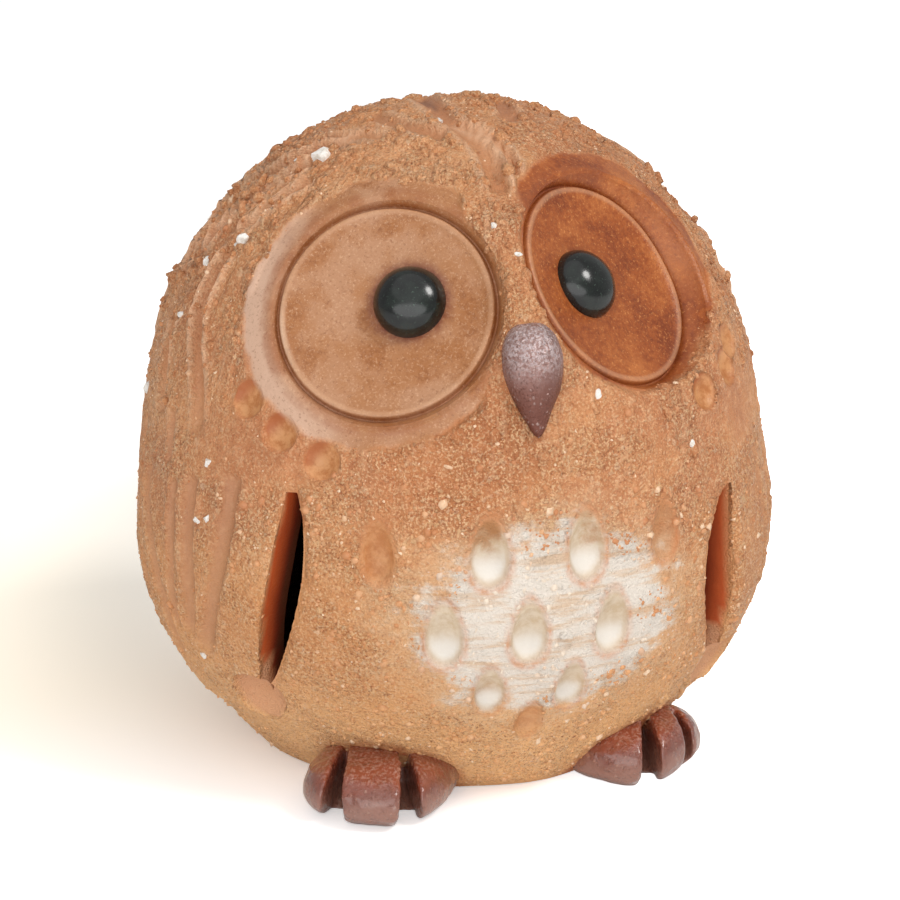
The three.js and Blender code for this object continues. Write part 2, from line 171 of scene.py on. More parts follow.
def finish_with(piece, kind, **settings):
    step = piece.modifiers.new(kind.lower(), kind)
    for name, value in settings.items():
        setattr(step, name, value)
    hold(piece)
    bpy.ops.object.modifier_apply(modifier=step.name)


def cut_away(piece, cutter):
    finish_with(piece, "BOOLEAN", operation="DIFFERENCE", solver="MANIFOLD", object=cutter)
    bpy.data.objects.remove(cutter)


def points_of(piece):
    flat = np.empty(len(piece.data.vertices) * 3)
    piece.data.vertices.foreach_get("co", flat)
    return flat.reshape(-1, 3)


def normals_of(piece):
    flat = np.empty(len(piece.data.vertices) * 3)
    piece.data.vertex_normals.foreach_get("vector", flat)
    return flat.reshape(-1, 3)


def move_points(piece, points):
    piece.data.vertices.foreach_set("co", np.ascontiguousarray(points).ravel())
    piece.data.update()


def mark(piece, name, values):
    layer = piece.data.attributes.new(name, "FLOAT", "POINT")
    layer.data.foreach_set("value", np.ascontiguousarray(values, np.float32))


def smoothstep(value, low, high):
    share = np.clip((value - low) / (high - low), 0, 1)
    return share * share * (3 - 2 * share)


def spun(name, outline, steps):
    """A turned form about +Z from (radius, height) points that go up its outside."""
    mesh = bpy.data.meshes.new(name)
    corners = [(radius, 0, height) for radius, height in outline]
    mesh.from_pydata(corners, [(i, i + 1) for i in range(len(corners) - 1)], [])
    piece = in_scene(name, mesh)
    open_mesh(piece)
    bpy.ops.mesh.spin(steps=steps, angle=2 * math.pi, center=(0, 0, 0), axis=(0, 0, 1))
    bpy.ops.mesh.select_all(action="SELECT")
    bpy.ops.mesh.remove_doubles(threshold=0.001)
    close_outwards()
    return piece


# The egg and what lies on it
def egg_radius(height, grow=0.0):
    height = np.asarray(height, float)
    widest = body_radius + grow
    rise = np.clip((height - girth_height) / (body_height + grow - girth_height), 0, 1)
    fall = np.clip((girth_height - height) / girth_height, 0, 1)
    closing = 1 - ((base_radius + grow) / widest) ** (1 / hip_taper)
    above = widest * np.sqrt(1 - rise**crown_power)
    below = widest * (1 - closing * fall**2) ** hip_taper
    return np.where(height >= girth_height, above, below)


def egg_point(bearing, height, grow=0.0):
    angle = math.radians(bearing)
    radius = float(egg_radius(height, grow))
    return Vector((radius * math.sin(angle), -radius * math.cos(angle), height))


def egg_frame(bearing, height, outward=0.0):
    """x to the owl's left, y up the surface, z out of it."""
    angle = math.radians(bearing)
    across = Vector((math.cos(angle), math.sin(angle), 0))
    up = (egg_point(bearing, height + 0.5) - egg_point(bearing, height - 0.5)).normalized()
    out = across.cross(up)
    centre = egg_point(bearing, height) + out * outward
    return Matrix((across, up, out)).transposed().to_4x4(), centre


def placed(turn, centre):
    return Matrix.Translation(centre) @ turn


def on_skin(bearing, height, outward=0.0):
    return placed(*egg_frame(bearing, height, outward))


def disc_frame(eye, outward=0.0):
    turn = math.radians(eye["turn"])
    pitch = math.radians(eye["pitch"])
    facing = Vector((math.sin(turn), -math.cos(turn), 0))
    out = facing * math.cos(pitch) + Vector((0, 0, math.sin(pitch)))
    across = Vector((math.cos(turn), math.sin(turn), 0))
    up = out.cross(across)
    centre = egg_point(eye["bearing"], body_height - eye["drop"]) + out * (outward - eye["depth"])
    return placed(Matrix((across, up, out)).transposed().to_4x4(), centre)


def seen_from(matrix, points):
    """The points in the coordinates of a frame."""
    inverse = np.array(matrix.inverted())
    return points @ inverse[:3, :3].T + inverse[:3, 3]


def bearings_of(points):
    return np.degrees(np.arctan2(points[:, 0], -points[:, 1]))


def lift(bearing, height):
    """How far the wings and the brow stand out from the egg."""
    raised = np.zeros(len(bearing))
    for wing in wings:
        top_bearing, top_height = wing["top"]
        foot_bearing, low = wing["foot"]
        aside = bearing * wing["side"]
        share = np.clip((height - low) / (top_height - low), 0, 1)
        edge = foot_bearing + (top_bearing - foot_bearing) * share - 1
        behind = smoothstep(aside, edge - 2, edge + 2)
        back = 1 - smoothstep(aside, 72, 108)
        above = smoothstep(height, wing_tip_height - 1, wing_tip_height + 1)
        below = 1 - smoothstep(height, top_height - 15, top_height + 15)
        raised += wing_lift * behind * back * above * below
    across = np.exp(-(((bearing - brow_bearing) / brow_spread) ** 2))
    off_brow = np.abs(height - (body_height - brow_drop))
    along = 1 - smoothstep(off_brow, brow_half_length / 2, brow_half_length)
    return raised + brow_lift * across * along


# Comb marks: places with a bearing and a drop below the crown
comb_half_width = 1.9
comb_depth = 1.0
deepest_mark = 1.7
comb_marks = [
    [(-60, 4.5), (-76, 7.6), (-84, 11), (-94, 14.4), (-100, 21), (-96, 27), (-91, 32)],
    [(-75, 23), (-76, 29), (-75.6, 33), (-73.5, 37), (-71, 41), (-68, 47), (-66, 54)],
    [(-65, 60), (-65, 69), (-65, 76), (-65.5, 84), (-67.6, 91)],
    [(-54.5, 58), (-55, 63), (-55.5, 67), (-56.6, 74), (-58, 79), (-61, 87), (-65, 94)],
    [(-83, 62), (-79, 73), (-76, 81), (-74.5, 91), (-76, 99)],
    [(-86.5, 37), (-84.5, 45), (-80.5, 53)],
    [(-90, 2), (-44, 2.2), (-17, 3.4)],
    [(-150, 0.7), (-22, 1.1), (-5.3, 3), (0, 5), (1, 7.2), (0.5, 11)],
    [(95, 0.7), (62, 0.9), (27, 2.2)],
    [(100, 8), (97, 16), (92, 24), (88, 34)],
    [(78, 24), (76, 33), (73, 41), (68, 50), (66, 58)],
    [(66, 62), (65, 70), (66, 80), (68, 92)],
    [(57, 60), (57, 68), (59, 78), (62, 88), (66, 94)],
    [(86, 46), (82, 60), (79, 74), (77, 88), (78, 98)],
    [(104, 17), (103, 34), (102, 52), (101, 70)],
    [(119, 9), (121, 26), (123, 43), (125, 60)],
    [(134, 14), (133, 36), (132, 58), (131, 80)],
    [(150, 8), (152, 25), (154, 42), (156, 59)],
    [(165, 18), (164, 40), (163, 62), (162, 84)],
    [(180, 7), (181, 24), (182, 41), (183, 58)],
    [(196, 15), (195, 37), (194, 59), (193, 81)],
    [(211, 9), (213, 26), (215, 43), (217, 60)],
    [(226, 17), (225, 39), (224, 61), (223, 83)],
    [(241, 8), (243, 25), (245, 42), (247, 59)],
]

# Finer marks of the same comb
scratch_half_width = 1.2
scratch_depth = 0.6
scratch_marks = [
    [(-84, 6), (-65, 4.2), (-49, 4.2)],
    [(84, 2.4), (68, 3.4), (60, 4.5)],
    [(-75.5, 51), (-73, 60)],
    [(-68, 9), (-78, 13), (-86, 19), (-88, 26)],
    [(-62, 11), (-71, 16), (-76, 21)],
    [(-12, 1.6), (6, 3.4), (9, 6), (8, 9)],
    [(-70, 62), (-70, 72), (-70.5, 82), (-71, 90)],
    [(-90, 55), (-86, 66), (-83, 78), (-81, 88)],
    [(-103, 30), (-104, 42), (-101, 56), (-97, 68)],
    [(91, 20), (88, 30), (84, 40), (80, 50)],
    [(72, 62), (71, 72), (72, 82)],
]


def on_egg(line):
    """A carved line's points on the egg, with its corners rounded off."""
    track = np.array([egg_point(bearing, body_height - drop) for bearing, drop in line])
    for _ in range(3):
        early = track[:-1] * 0.75 + track[1:] * 0.25
        late = track[:-1] * 0.25 + track[1:] * 0.75
        between = np.stack([early, late], 1).reshape(-1, 3)
        track = np.concatenate([track[:1], between, track[-1:]])
    heights = np.clip(track[:, 2], 0, body_height)
    skin = egg_radius(heights) + lift(bearings_of(track), heights)
    spread = skin / np.maximum(np.hypot(track[:, 0], track[:, 1]), 1e-6)
    spread = np.where(heights > 118.5, 1, spread)
    return np.stack([track[:, 0] * spread, track[:, 1] * spread, heights], 1)


def distance_to(track, points):
    """Distance of each point to a line of points, and how far along it the nearest spot is."""
    best = np.full(len(points), 1e9)
    along = np.zeros(len(points))
    low, high = track.min(0) - 5, track.max(0) + 5
    near = np.all((points > low) & (points < high), 1)
    close = points[near]
    nearest = np.full(len(close), 1e9)
    place = np.zeros(len(close))
    for i, (start, end) in enumerate(zip(track[:-1], track[1:])):
        run = end - start
        share = np.clip((close - start) @ run / max(run @ run, 1e-9), 0, 1)
        gap = np.linalg.norm(close - start - share[:, None] * run, axis=1)
        closer = gap < nearest
        nearest = np.where(closer, gap, nearest)
        place = np.where(closer, (i + share) / (len(track) - 1), place)
    best[near] = nearest
    along[near] = place
    return best, along


def gap_to(track, points):
    """Distance of each point to a line of points, also where it is far away."""
    gap = np.full(len(points), 1e9)
    for start, end in zip(track[:-1], track[1:]):
        run = end - start
        share = np.clip((points - start) @ run / max(run @ run, 1e-9), 0, 1)
        gap = np.minimum(gap, np.linalg.norm(points - start - share[:, None] * run, axis=1))
    return gap


def noise_at(points, size, seed=0.0):
    shift = Vector((seed, seed * 1.7, -seed))
    return np.array([noise.noise(Vector(p) / size + shift) for p in points])


def grains_at(points, size, share, seed):
    """Domes of coarse grains: 0 between them, up to 1 on top of the largest."""
    heights = np.zeros(len(points))
    shift = Vector((seed, -seed, seed * 0.3))
    for i, p in enumerate(points):
        gaps, centres = noise.voronoi(Vector(p) / size + shift)
        luck = noise.cell(centres[0] * 7.3)
        if luck > 1 - share:
            dome = 1 - (gaps[0] / 0.5) ** 2
            if dome > 0:
                heights[i] = dome * (0.4 + 0.6 * (luck - 1 + share) / share)
    return heights


def lens_outline(wing):
    """The wing cut's outline facing the wall at its middle bearing: rear edge down, front edge up."""
    top_bearing, top_height = wing["top"]
    foot_bearing, low = wing["foot"]
    side = wing["side"]
    middle = (top_bearing + foot_bearing) / 2
    top = np.array([side * body_radius * math.sin(math.radians(top_bearing - middle)), top_height])
    foot = np.array([side * body_radius * math.sin(math.radians(foot_bearing - middle)), low])
    centre = (top + foot) / 2
    rear = centre - np.array([2 * side * wing["rear"], 0])
    front = centre - np.array([2 * side * wing["front"], 0])
    share = np.linspace(0, 1, lens_steps)[:, None]
    down = top * (1 - share) ** 2 + rear * 2 * share * (1 - share) + foot * share**2
    blunt = top - np.array([side * wing["blunt"], 0])
    back_up = foot * (1 - share) ** 2 + front * 2 * share * (1 - share) + blunt * share**2
    return down, back_up[1:], side * middle


def on_wall(flat, middle):
    """Points of a cut's outline carried onto the egg."""
    line = []
    for aside, height in flat:
        bearing = middle + math.degrees(math.asin(aside / body_radius))
        line.append(egg_point(bearing, height))
    return np.array(line)


# Eye stamp outline: radius and height over the disc's plane, from the middle out
stamp_outline = [(r, -disc_hollow * (1 - (r / disc_radius) ** 2)) for r in np.linspace(0, 16.8, 12)]
stamp_outline += [(17.4, -0.08), (17.8, 0.08), (18.2, 0.2), (18.5, 0.2), (18.75, 0.02)]
stamp_outline += [(18.9, -0.55), (19.1, -0.85), (19.35, -0.85), (19.55, -0.5)]
stamp_wall = [(19.7, 0.0), (20.15, 0.55), (20.7, 1.2), (21.3, 2.1), (21.75, 3.2), (22.3, 5.2)]
stamp_wall += [(23.0, 9.5)]


def stamp_cutter(eye):
    outline = stamp_outline + stamp_wall + [(0, stamp_wall[-1][1])]
    cutter = spun("stamp", outline, 144)
    points = points_of(cutter)
    radius = np.hypot(points[:, 0], points[:, 1])
    wave = noise_at(points, 9.0, eye["turn"])
    points[:, 2] += 0.16 * wave * (radius > 1)
    points[:, :2] *= (1 + 0.006 * wave * smoothstep(radius, 10, 19))[:, None]
    move_points(cutter, points)
    cutter.data.transform(disc_frame(eye))
    return cutter


def backing():
    """The clay left behind an eye disc, where the stamp would break through the wall."""
    foot = -wall - disc_hollow
    return spun("backing", [(0, foot), (backing_radius, foot), (backing_radius, 12), (0, 12)], 48)


def egg_solid(grow, floor, steps, rings):
    middle = np.linspace(floor, girth_height, rings // 3)[:-1]
    quarter = np.sin(np.linspace(0, math.pi / 2, rings))
    heights = np.concatenate([middle, girth_height + (body_height + grow - girth_height) * quarter])
    side = [(float(egg_radius(height, grow)), height) for height in heights[:-1]]
    return spun("egg", [(0, floor)] + side + [(0, heights[-1])], steps)


def cut_blade(wing):
    """The lens-shaped blade that a wing cut takes out of the wall."""
    down, up, middle = lens_outline(wing)
    inner = body_radius - 4 * wall
    corners = [(x, -inner, z) for x, z in np.concatenate([down, up])]
    mesh = bpy.data.meshes.new("blade")
    mesh.from_pydata(corners, [], [list(range(len(corners)))])
    blade = in_scene("blade", mesh)
    open_mesh(blade)
    for _ in range(20):
        bpy.ops.mesh.extrude_region_move(TRANSFORM_OT_translate={"value": (0, -1.6, 0)})
    close_outwards()
    blade.data.transform(Matrix.Rotation(math.radians(middle), 4, "Z"))
    return blade


def dimple_cutter(bearing, height, size):
    """A drop-shaped press mark, shallow at its top and deep at its foot."""
    bpy.ops.mesh.primitive_uv_sphere_add(segments=36, ring_count=22, radius=1)
    cutter = bpy.context.object
    points = points_of(cutter)[:, [0, 2, 1]]
    bite = dimple_bite * size
    x, y, z = points.T
    width = dimple_half_width * size * (1 - 0.35 * (y + 1) / 2)
    sink = 2 * bite * (1 - 0.3 * y)
    wobble = 1 + 0.06 * math.sin(bearing * 3.1)
    move_points(cutter, np.stack([x * width * wobble, y * dimple_half_height * size, z * sink], 1))
    open_mesh(cutter)
    close_outwards()
    tilt = Matrix.Rotation(math.radians(3 * math.sin(height)), 4, "Z")
    cutter.data.transform(on_skin(bearing, height, bite) @ tilt)
    return cutter


def ball_cutter(bearing, height, radius, depth):
    bpy.ops.mesh.primitive_uv_sphere_add(segments=32, ring_count=20, radius=radius)
    cutter = bpy.context.object
    cutter.data.transform(on_skin(bearing, height, radius - depth))
    return cutter


def joined(pieces):
    let_go()
    for piece in pieces:
        piece.select_set(True)
    bpy.context.view_layer.objects.active = pieces[0]
    bpy.ops.object.join()
    return pieces[0]


# Cuts along each edge of the cube that the body starts as, before all are halved once more
ball_cuts = 55


def quad_ball():
    """A cube cut into even squares and blown up to a ball of radius 1."""
    bpy.ops.mesh.primitive_cube_add(size=2)
    ball = bpy.context.object
    open_mesh(ball)
    bpy.ops.mesh.subdivide(number_cuts=ball_cuts)
    bpy.ops.mesh.subdivide(number_cuts=1)
    close_mesh()
    points = np.tan(points_of(ball) * math.pi / 4)
    move_points(ball, points / np.linalg.norm(points, axis=1)[:, None])
    return ball


# Where the mesh is finer round an eye, as distances from the disc's axis
finer_from = 18.8
finer_to = 25.2


def finer_rims(ball):
    """Splits the faces round the eye stamps once more."""
    points = points_of(ball)
    ring = np.zeros(len(points), bool)
    for side in eyes:
        reach, _ = eye_reach(points, side)
        ring |= (reach > finer_from) & (reach < finer_to)
    corners = np.array([tuple(face.vertices) for face in ball.data.polygons])
    chosen = ring[corners].all(1)
    open_mesh(ball)
    bpy.ops.mesh.select_mode(type="FACE")
    bpy.ops.mesh.select_all(action="DESELECT")
    close_mesh()
    ball.data.polygons.foreach_set("select", chosen)
    bpy.ops.object.mode_set(mode="EDIT")
    bpy.ops.mesh.subdivide(number_cuts=1)
    close_mesh()


def egg_from_ball(directions):
    """Each direction's point on the egg, whose foot has a rounded edge."""
    middle = 50.0
    foot = np.stack([np.linspace(0, base_radius, 160), np.zeros(160)], 1)[:-1]
    heights = np.concatenate([np.linspace(0, girth_height, 200)[:-1], girth_height + (
        body_height - girth_height) * np.sin(np.linspace(0, math.pi / 2, 700))])
    side = np.stack([egg_radius(heights), heights], 1)
    outline = np.concatenate([foot, side])
    for _ in range(60):
        outline[1:-1] = (outline[:-2] + 2 * outline[1:-1] + outline[2:]) / 4
    angle = np.arctan2(outline[:, 0], outline[:, 1] - middle)
    order = np.argsort(angle)
    polar = np.arccos(np.clip(directions[:, 2], -1, 1))
    radius = np.interp(polar, angle[order], outline[order, 0])
    height = np.interp(polar, angle[order], outline[order, 1])
    flat = np.maximum(np.hypot(directions[:, 0], directions[:, 1]), 1e-9)
    return np.stack([directions[:, 0] / flat * radius, directions[:, 1] / flat * radius, height], 1)


eye_frames = {side: disc_frame(eye) for side, eye in eyes.items()}


def eye_reach(points, side):
    """Distance from an eye disc's axis, and height over its plane. Far values behind the head."""
    local = seen_from(eye_frames[side], points)
    reach = np.hypot(local[:, 0], local[:, 1])
    return np.where(local[:, 2] < -25, 60.0, reach), local[:, 2]


rim_softness = 1.5
deepest_roll = 1.2


def rolled_rims(points):
    """Rolls the clay down into each eye stamp, so that the stamp's edge isn't sharp."""
    radii = [radius for radius, _ in stamp_wall] + [30.0]
    heights = [height for _, height in stamp_wall] + [45.0]
    for side in eyes:
        reach, over = eye_reach(points, side)
        slope = np.interp(reach, radii, heights)
        part = np.clip(0.5 + 0.5 * (over - slope) / rim_softness, 0, 1)
        rolled = over + (slope - over) * part - rim_softness * part * (1 - part)
        rolled = rolled + 0.7 * np.clip(over - slope - 0.25 * rim_softness, 0, None)
        drop = np.where((reach > rim_foot) & (reach < 27), over - rolled, 0)
        out = np.array(eye_frames[side])[:3, 2]
        points = points - np.clip(drop, 0, deepest_roll)[:, None] * out
    return points


def body_form():
    ball = quad_ball()
    ball.name = "owl_body"
    move_points(ball, egg_from_ball(points_of(ball)))
    finer_rims(ball)
    points = points_of(ball)
    radius = np.hypot(points[:, 0], points[:, 1])
    grow = 1 + np.where(radius > 1, lift(bearings_of(points), points[:, 2]) / np.maximum(radius, 1), 0)
    points[:, :2] *= grow[:, None]
    points = rolled_rims(points)
    move_points(ball, points)
    return ball


# How far each burnished ring goes, at every 45 degrees from the owl's left upwards round its eye
zone_widths = {
    "right": [24.0, 24.5, 24.5, 25.0, 26.0, 25.5, 24.5, 24.0, 24.0],
    "left": [25.8, 27.5, 24.6, 22.6, 21.2, 20.9, 20.9, 21.4, 25.8]}


def zone_span(points, side):
    """Distance from an eye disc's axis, set so that its burnished ring ends at 25."""
    reach, _ = eye_reach(points, side)
    local = seen_from(eye_frames[side], points)
    angle = np.degrees(np.arctan2(local[:, 1], local[:, 0])) % 360
    return reach + 25 - np.interp(angle, np.arange(0, 361, 45), zone_widths[side])


def zone_edge(points, side):
    """1 inside the burnished ring round an eye, 0 on the coarse clay outside."""
    reach, _ = eye_reach(points, side)
    wobble = noise_at(points, 6.0, 4.0) * 1.3
    inner = 1 - smoothstep(zone_span(points, side) + wobble, 24.2, 25.8)
    inner = np.maximum(inner, 1 - smoothstep(reach, 19.8, 20.6))
    return inner * np.maximum(off_bridge(points), 1 - smoothstep(reach, 19.5, 21.0))


def off_bridge(points):
    """0 on the coarse ridge between the eyes, 1 away from it."""
    aside = np.abs(bearings_of(points) + 1.0 + 0.15 * (points[:, 2] - 93))
    half = 3.2 + 0.3 * np.abs(points[:, 2] - 95)
    return smoothstep(aside, half, half + 3)


def carving(points):
    """How deep the comb marks go at each point, and masks of their smooth floors and raised banks."""
    pushed = np.zeros(len(points))
    floors = np.zeros(len(points))
    head = smoothstep(points[:, 2], 66, 90) * (1 - smoothstep(points[:, 2], 111, 116))
    ridges = np.zeros(len(points))
    kinds = [(line, comb_half_width, comb_depth) for line in comb_marks]
    kinds += [(line, scratch_half_width, scratch_depth) for line in scratch_marks]
    for line, width, depth in kinds:
        gap, along = distance_to(on_egg(line), points)
        fade = smoothstep(along, 0, 0.12) * (1 - smoothstep(along, 0.85, 1))
        fade = fade * (1 + 0.5 * head)
        trough = 1 - smoothstep(gap, 0.3 * width, 1.15 * width)
        bank = np.exp(-(((gap - width * 1.35) / 0.6) ** 2))
        pushed += fade * ((0.25 + 0.4 * head) * bank - depth * trough)
        ridges = np.maximum(ridges, fade * bank)
        floor = (1 - smoothstep(gap, 0.7 * width, 1.15 * width)) * (1 - 0.3 * head)
        floors = np.maximum(floors, np.minimum(fade, 1) * floor)
    return np.maximum(pushed, -deepest_mark), floors, ridges


def near_dimple(points, place, height, size):
    """How far a point lies from a dimple's middle, as a share of its outline, and how high up it."""
    local = seen_from(on_skin(place, height), points)
    up = local[:, 1] / (dimple_half_height * size)
    width = dimple_half_width * size * (1 - 0.18 * (np.clip(up, -1, 1) + 1))
    ring = np.hypot(local[:, 0] / width, up)
    return np.where(np.abs(local[:, 2]) < 8, ring, 9), up


def near_cheek_mark(points, place, drop):
    """The same for a cheek mark, with how far aside and how high up it a point lies."""
    local = seen_from(on_skin(place, body_height - drop), points)
    ring = np.hypot(local[:, 0], local[:, 1]) / cheek_radius
    return np.where(np.abs(local[:, 2]) < 8, ring, 9), local[:, 0], local[:, 1]


def smooth_places(points):
    """Where the clay is wiped smooth: below the cheek marks."""
    bearing = np.abs(bearings_of(points))
    height = points[:, 2]
    cheek = ((bearing - 54) / 17) ** 2 + ((height - 68) / 8) ** 2
    wiped = 1 - smoothstep(cheek + 0.9 * noise_at(points, 9.0, 12.0), 0.5, 1.3)
    return 0.8 * wiped


def coarseness(points, floors):
    """0 on smooth clay, 1 where it is full of grains."""
    burnished = np.maximum(zone_edge(points, "right"), zone_edge(points, "left"))
    coarse = (1 - burnished) * (1 - floors) * (1 - 0.8 * smooth_places(points))
    for dimple in dimples:
        coarse *= smoothstep(near_dimple(points, *dimple)[0], 0.95, 1.15)
    for cheek_mark in cheek_marks:
        coarse *= smoothstep(near_cheek_mark(points, *cheek_mark)[0], 0.9, 1.1)
    coarse *= 1 - 0.55 * slip_over(points)
    patches = noise_at(points, 8.0, 17.0) + 0.5 * noise_at(points, 3.5, 18.0)
    return burnished, coarse * (0.55 + 0.45 * smoothstep(patches, -0.35, 0.3))


def combed(points):
    """Fine drag lines that run down from the crown over the head and the wings."""
    angle = np.radians(bearings_of(points))
    flow = np.stack([58 * np.sin(angle), -58 * np.cos(angle), 0.13 * points[:, 2]], 1)
    high = smoothstep(points[:, 2], 35, 80) * (1 - smoothstep(points[:, 2], 108, 115))
    return 0.75 * high * noise_at(flow, 2.2, 44.0)


def carve_and_roughen(body):
    points = points_of(body)
    out = normals_of(body)
    pushed, floors, _ = carving(points)
    burnished, rough = coarseness(points, floors)
    pushed *= 1 - burnished
    for wing in wings:
        down, up, middle = lens_outline(wing)
        front, _ = distance_to(on_wall(np.concatenate([down[-1:], up, down[:1]]), middle), points)
        rear, _ = distance_to(on_wall(down, middle), points)
        pushed -= 0.5 * np.clip(1 - front / 1.7, 0, 1) ** 2
        pushed -= 0.25 * np.clip(1 - rear / 1.1, 0, 1) ** 2
        rough *= smoothstep(np.minimum(front, rear + 0.5), 0.3, 1.2)
    for dimple in dimples:
        ring, _ = near_dimple(points, *dimple)
        pushed += 0.35 * np.exp(-(((ring - 1.05) / 0.16) ** 2))
    for cheek_mark in cheek_marks:
        ring, _, over = near_cheek_mark(points, *cheek_mark)
        pushed += 0.35 * np.exp(-(((ring - 1.1) / 0.2) ** 2)) * (1 - smoothstep(over, -2, 3))
    rough *= smoothstep(points[:, 2], 0.5, 3)
    head = 0.3 + 0.9 * smoothstep(points[:, 2], 62, 95)
    pushed += 0.45 * noise_at(points, 16.0, 2.0) * (1 - burnished)
    pushed += rough * 0.6 * head * noise_at(points, 4.4, 5.0)
    pushed += rough * 0.3 * noise_at(points, 1.7, 9.0)
    pushed += rough * head * 1.1 * grains_at(points, 4.2, 0.34, 3.0)
    pushed += rough * 0.3 * grains_at(points, 2.0, 0.5, 8.0)
    pushed += rough * combed(points)
    pushed -= 0.2 * burnished
    move_points(body, points + out * pushed[:, None])


def slit_gap(points):
    """Distance of each point to the nearest edge of a wing cut."""
    gap = np.full(len(points), 99.0)
    for wing in wings:
        down, up, middle = lens_outline(wing)
        outline = on_wall(np.concatenate([down, up, down[:1]]), middle)
        gap = np.minimum(gap, gap_to(outline, points))
    return gap


def bead_halo(points):
    """1 on the disc close round each bead."""
    halo = np.zeros(len(points))
    for side, eye in eyes.items():
        local = seen_from(eye_frames[side], points)
        gap = np.hypot(local[:, 0] - eye["bead"][0], local[:, 1] - eye["bead"][1])
        halo = np.maximum(halo, (1 - smoothstep(gap, 6.0, 8.2)) * (np.abs(local[:, 2]) < 3))
    return halo


def scooped(points, inside):
    """1 on the scooped spot at the foot of each wing cut."""
    facet = np.zeros(len(points))
    for wing in wings:
        spot = np.array(egg_point(wing["side"] * (wing["foot"][0] + scoop_aside), scoop_height))
        facet = np.maximum(facet, 1 - smoothstep(np.linalg.norm(points - spot, axis=1), 8.2, 9.6))
    return facet * smoothstep(inside, 0.15, 0.9) * (1 - smoothstep(inside, 3.4, 4.4))


def foot_seats(points):
    """1 on the clay close round each foot."""
    seat = np.zeros(len(points))
    for foot in (right_foot, left_foot):
        middle = foot_middle(foot)
        turn = math.radians(foot["bearing"])
        east, south = points[:, 0] - middle.x, middle.y - points[:, 1]
        aside = east * math.cos(turn) - south * math.sin(turn)
        out = east * math.sin(turn) + south * math.cos(turn)
        gap = (aside / foot["half_width"]) ** 2 + (out / 13) ** 2 + (points[:, 2] / foot_height) ** 2
        seat = np.maximum(seat, 1 - smoothstep(np.sqrt(gap), 1.0, 1.3))
    return seat


def press_marks(points):
    """Masks of the dimples and cheek marks. The white ones hold slip, and the others show amber clay. The
    upper inner wall of each cheek mark gets painted shade.
    """
    pool, bowl, lip, amber, shaded = np.zeros((5, len(points)))
    plain = (dimples[0], dimples[3], dimples[-1])
    for dimple in dimples:
        ring, up = near_dimple(points, *dimple)
        white = float(dimple not in plain)
        low = 1 - smoothstep(up, -0.45, 0.15)
        pool = np.maximum(pool, white * (1 - smoothstep(ring, 0.65, 0.88)) * low)
        bowl = np.maximum(bowl, (0.35 + 0.65 * white) * (1 - smoothstep(ring, 0.75, 0.95)))
        lip = np.maximum(lip, np.exp(-(((ring - 1.0) / 0.1) ** 2)))
    for cheek_mark in cheek_marks:
        ring, aside, up = near_cheek_mark(points, *cheek_mark)
        amber = np.maximum(amber, 1 - smoothstep(ring, 0.85, 1.05))
        # Painted shade on the upper inner wall of each cheek mark
        slope = smoothstep(up - aside, 0.5, 3.2) * (1 - smoothstep(ring, 0.9, 1.05))
        shaded = np.maximum(shaded, slope)
    for dimple, share in ((dimples[0], 0.7), (dimples[-1], 0.6)):
        ring, _ = near_dimple(points, *dimple)
        amber = np.maximum(amber, share - share * smoothstep(ring, 0.7, 1.05))
    return dict(pool=pool, bowl=bowl, lip=lip, amber=amber, shaded=shaded)


def dress_body(body):
    """Marks where the body is burnished, cut, slipped or carved, for its material and its grains."""
    points = points_of(body)
    height = points[:, 2]
    bearing = bearings_of(points)
    reaches = {side: eye_reach(points, side)[0] for side in eyes}
    off_eyes = np.minimum(reaches["right"], reaches["left"]) > 23
    surface = egg_radius(height) + lift(bearing, height)
    inside = np.where(height > 0.4, surface - np.hypot(points[:, 0], points[:, 1]), 0)
    slit = slit_gap(points)
    off_cheeks = np.ones(len(points), bool)
    for cheek_mark in cheek_marks:
        off_cheeks &= near_cheek_mark(points, *cheek_mark)[0] > 1.3
    facet = scooped(points, inside)
    cut = smoothstep(inside, 0.4, 1.1) * (1 - smoothstep(slit, 7.5, 8.5)) * off_eyes
    cut = cut * off_cheeks * (1 - facet)
    # The hollow's skin gets painted shade, dark brown
    hollow = np.maximum(smoothstep(inside, 5.2, 6.0) * off_eyes, within_hollow(points))
    _, floors, ridges = carving(points)
    burnished, rough = coarseness(points, floors)
    seat = foot_seats(points)
    rough = rough * smoothstep(height, 0.6, 2) * (1 - np.maximum(cut, hollow)) * (1 - 0.6 * seat)
    rough = rough * smoothstep(slit, 0.5, 1.2) * (1 - facet) ** 2
    head = smoothstep(height, 62, 92)
    breast = (1 - smoothstep(np.abs(bearing), 38, 56)) * (1 - smoothstep(height, 52, 66))
    # The deep layer carries painted shade, darker deeper into the wing cuts
    masks = dict(
        off_bridge=off_bridge(points), halo=bead_halo(points), facet=facet, cut=cut, inside=hollow,
        deep=smoothstep(inside, 1.5, 6.5), carved=floors * (1 - burnished),
        ridges=ridges * (1 - burnished), seat=seat, rough=rough,
        crumbly=rough * (0.02 + 0.98 * head) * (1 - 0.8 * floors), sandy=rough * (0.1 + breast))
    for side in eyes:
        masks[side + "_reach"] = reaches[side]
        masks[side + "_span"] = zone_span(points, side)
    masks.update(press_marks(points))
    for name, values in masks.items():
        mark(body, name, values)


def within_hollow(points):
    """1 on the skin of the hollow, also where the clay behind the eye discs stands into it."""
    radius = np.hypot(points[:, 0], points[:, 1])
    deep = radius < egg_radius(np.clip(points[:, 2], 0, body_height - wall), -wall) + 0.3
    deep &= (points[:, 2] > wall - 0.3) & (points[:, 2] < body_height - wall + 0.3)
    for side in eyes:
        reach, over = eye_reach(points, side)
        deep &= ~((reach < 24.2) & (over > -wall - disc_hollow + 0.5))
    return deep.astype(float)


# Edges of the body turned by more than this many degrees stay sharp
sharp_angle = 48


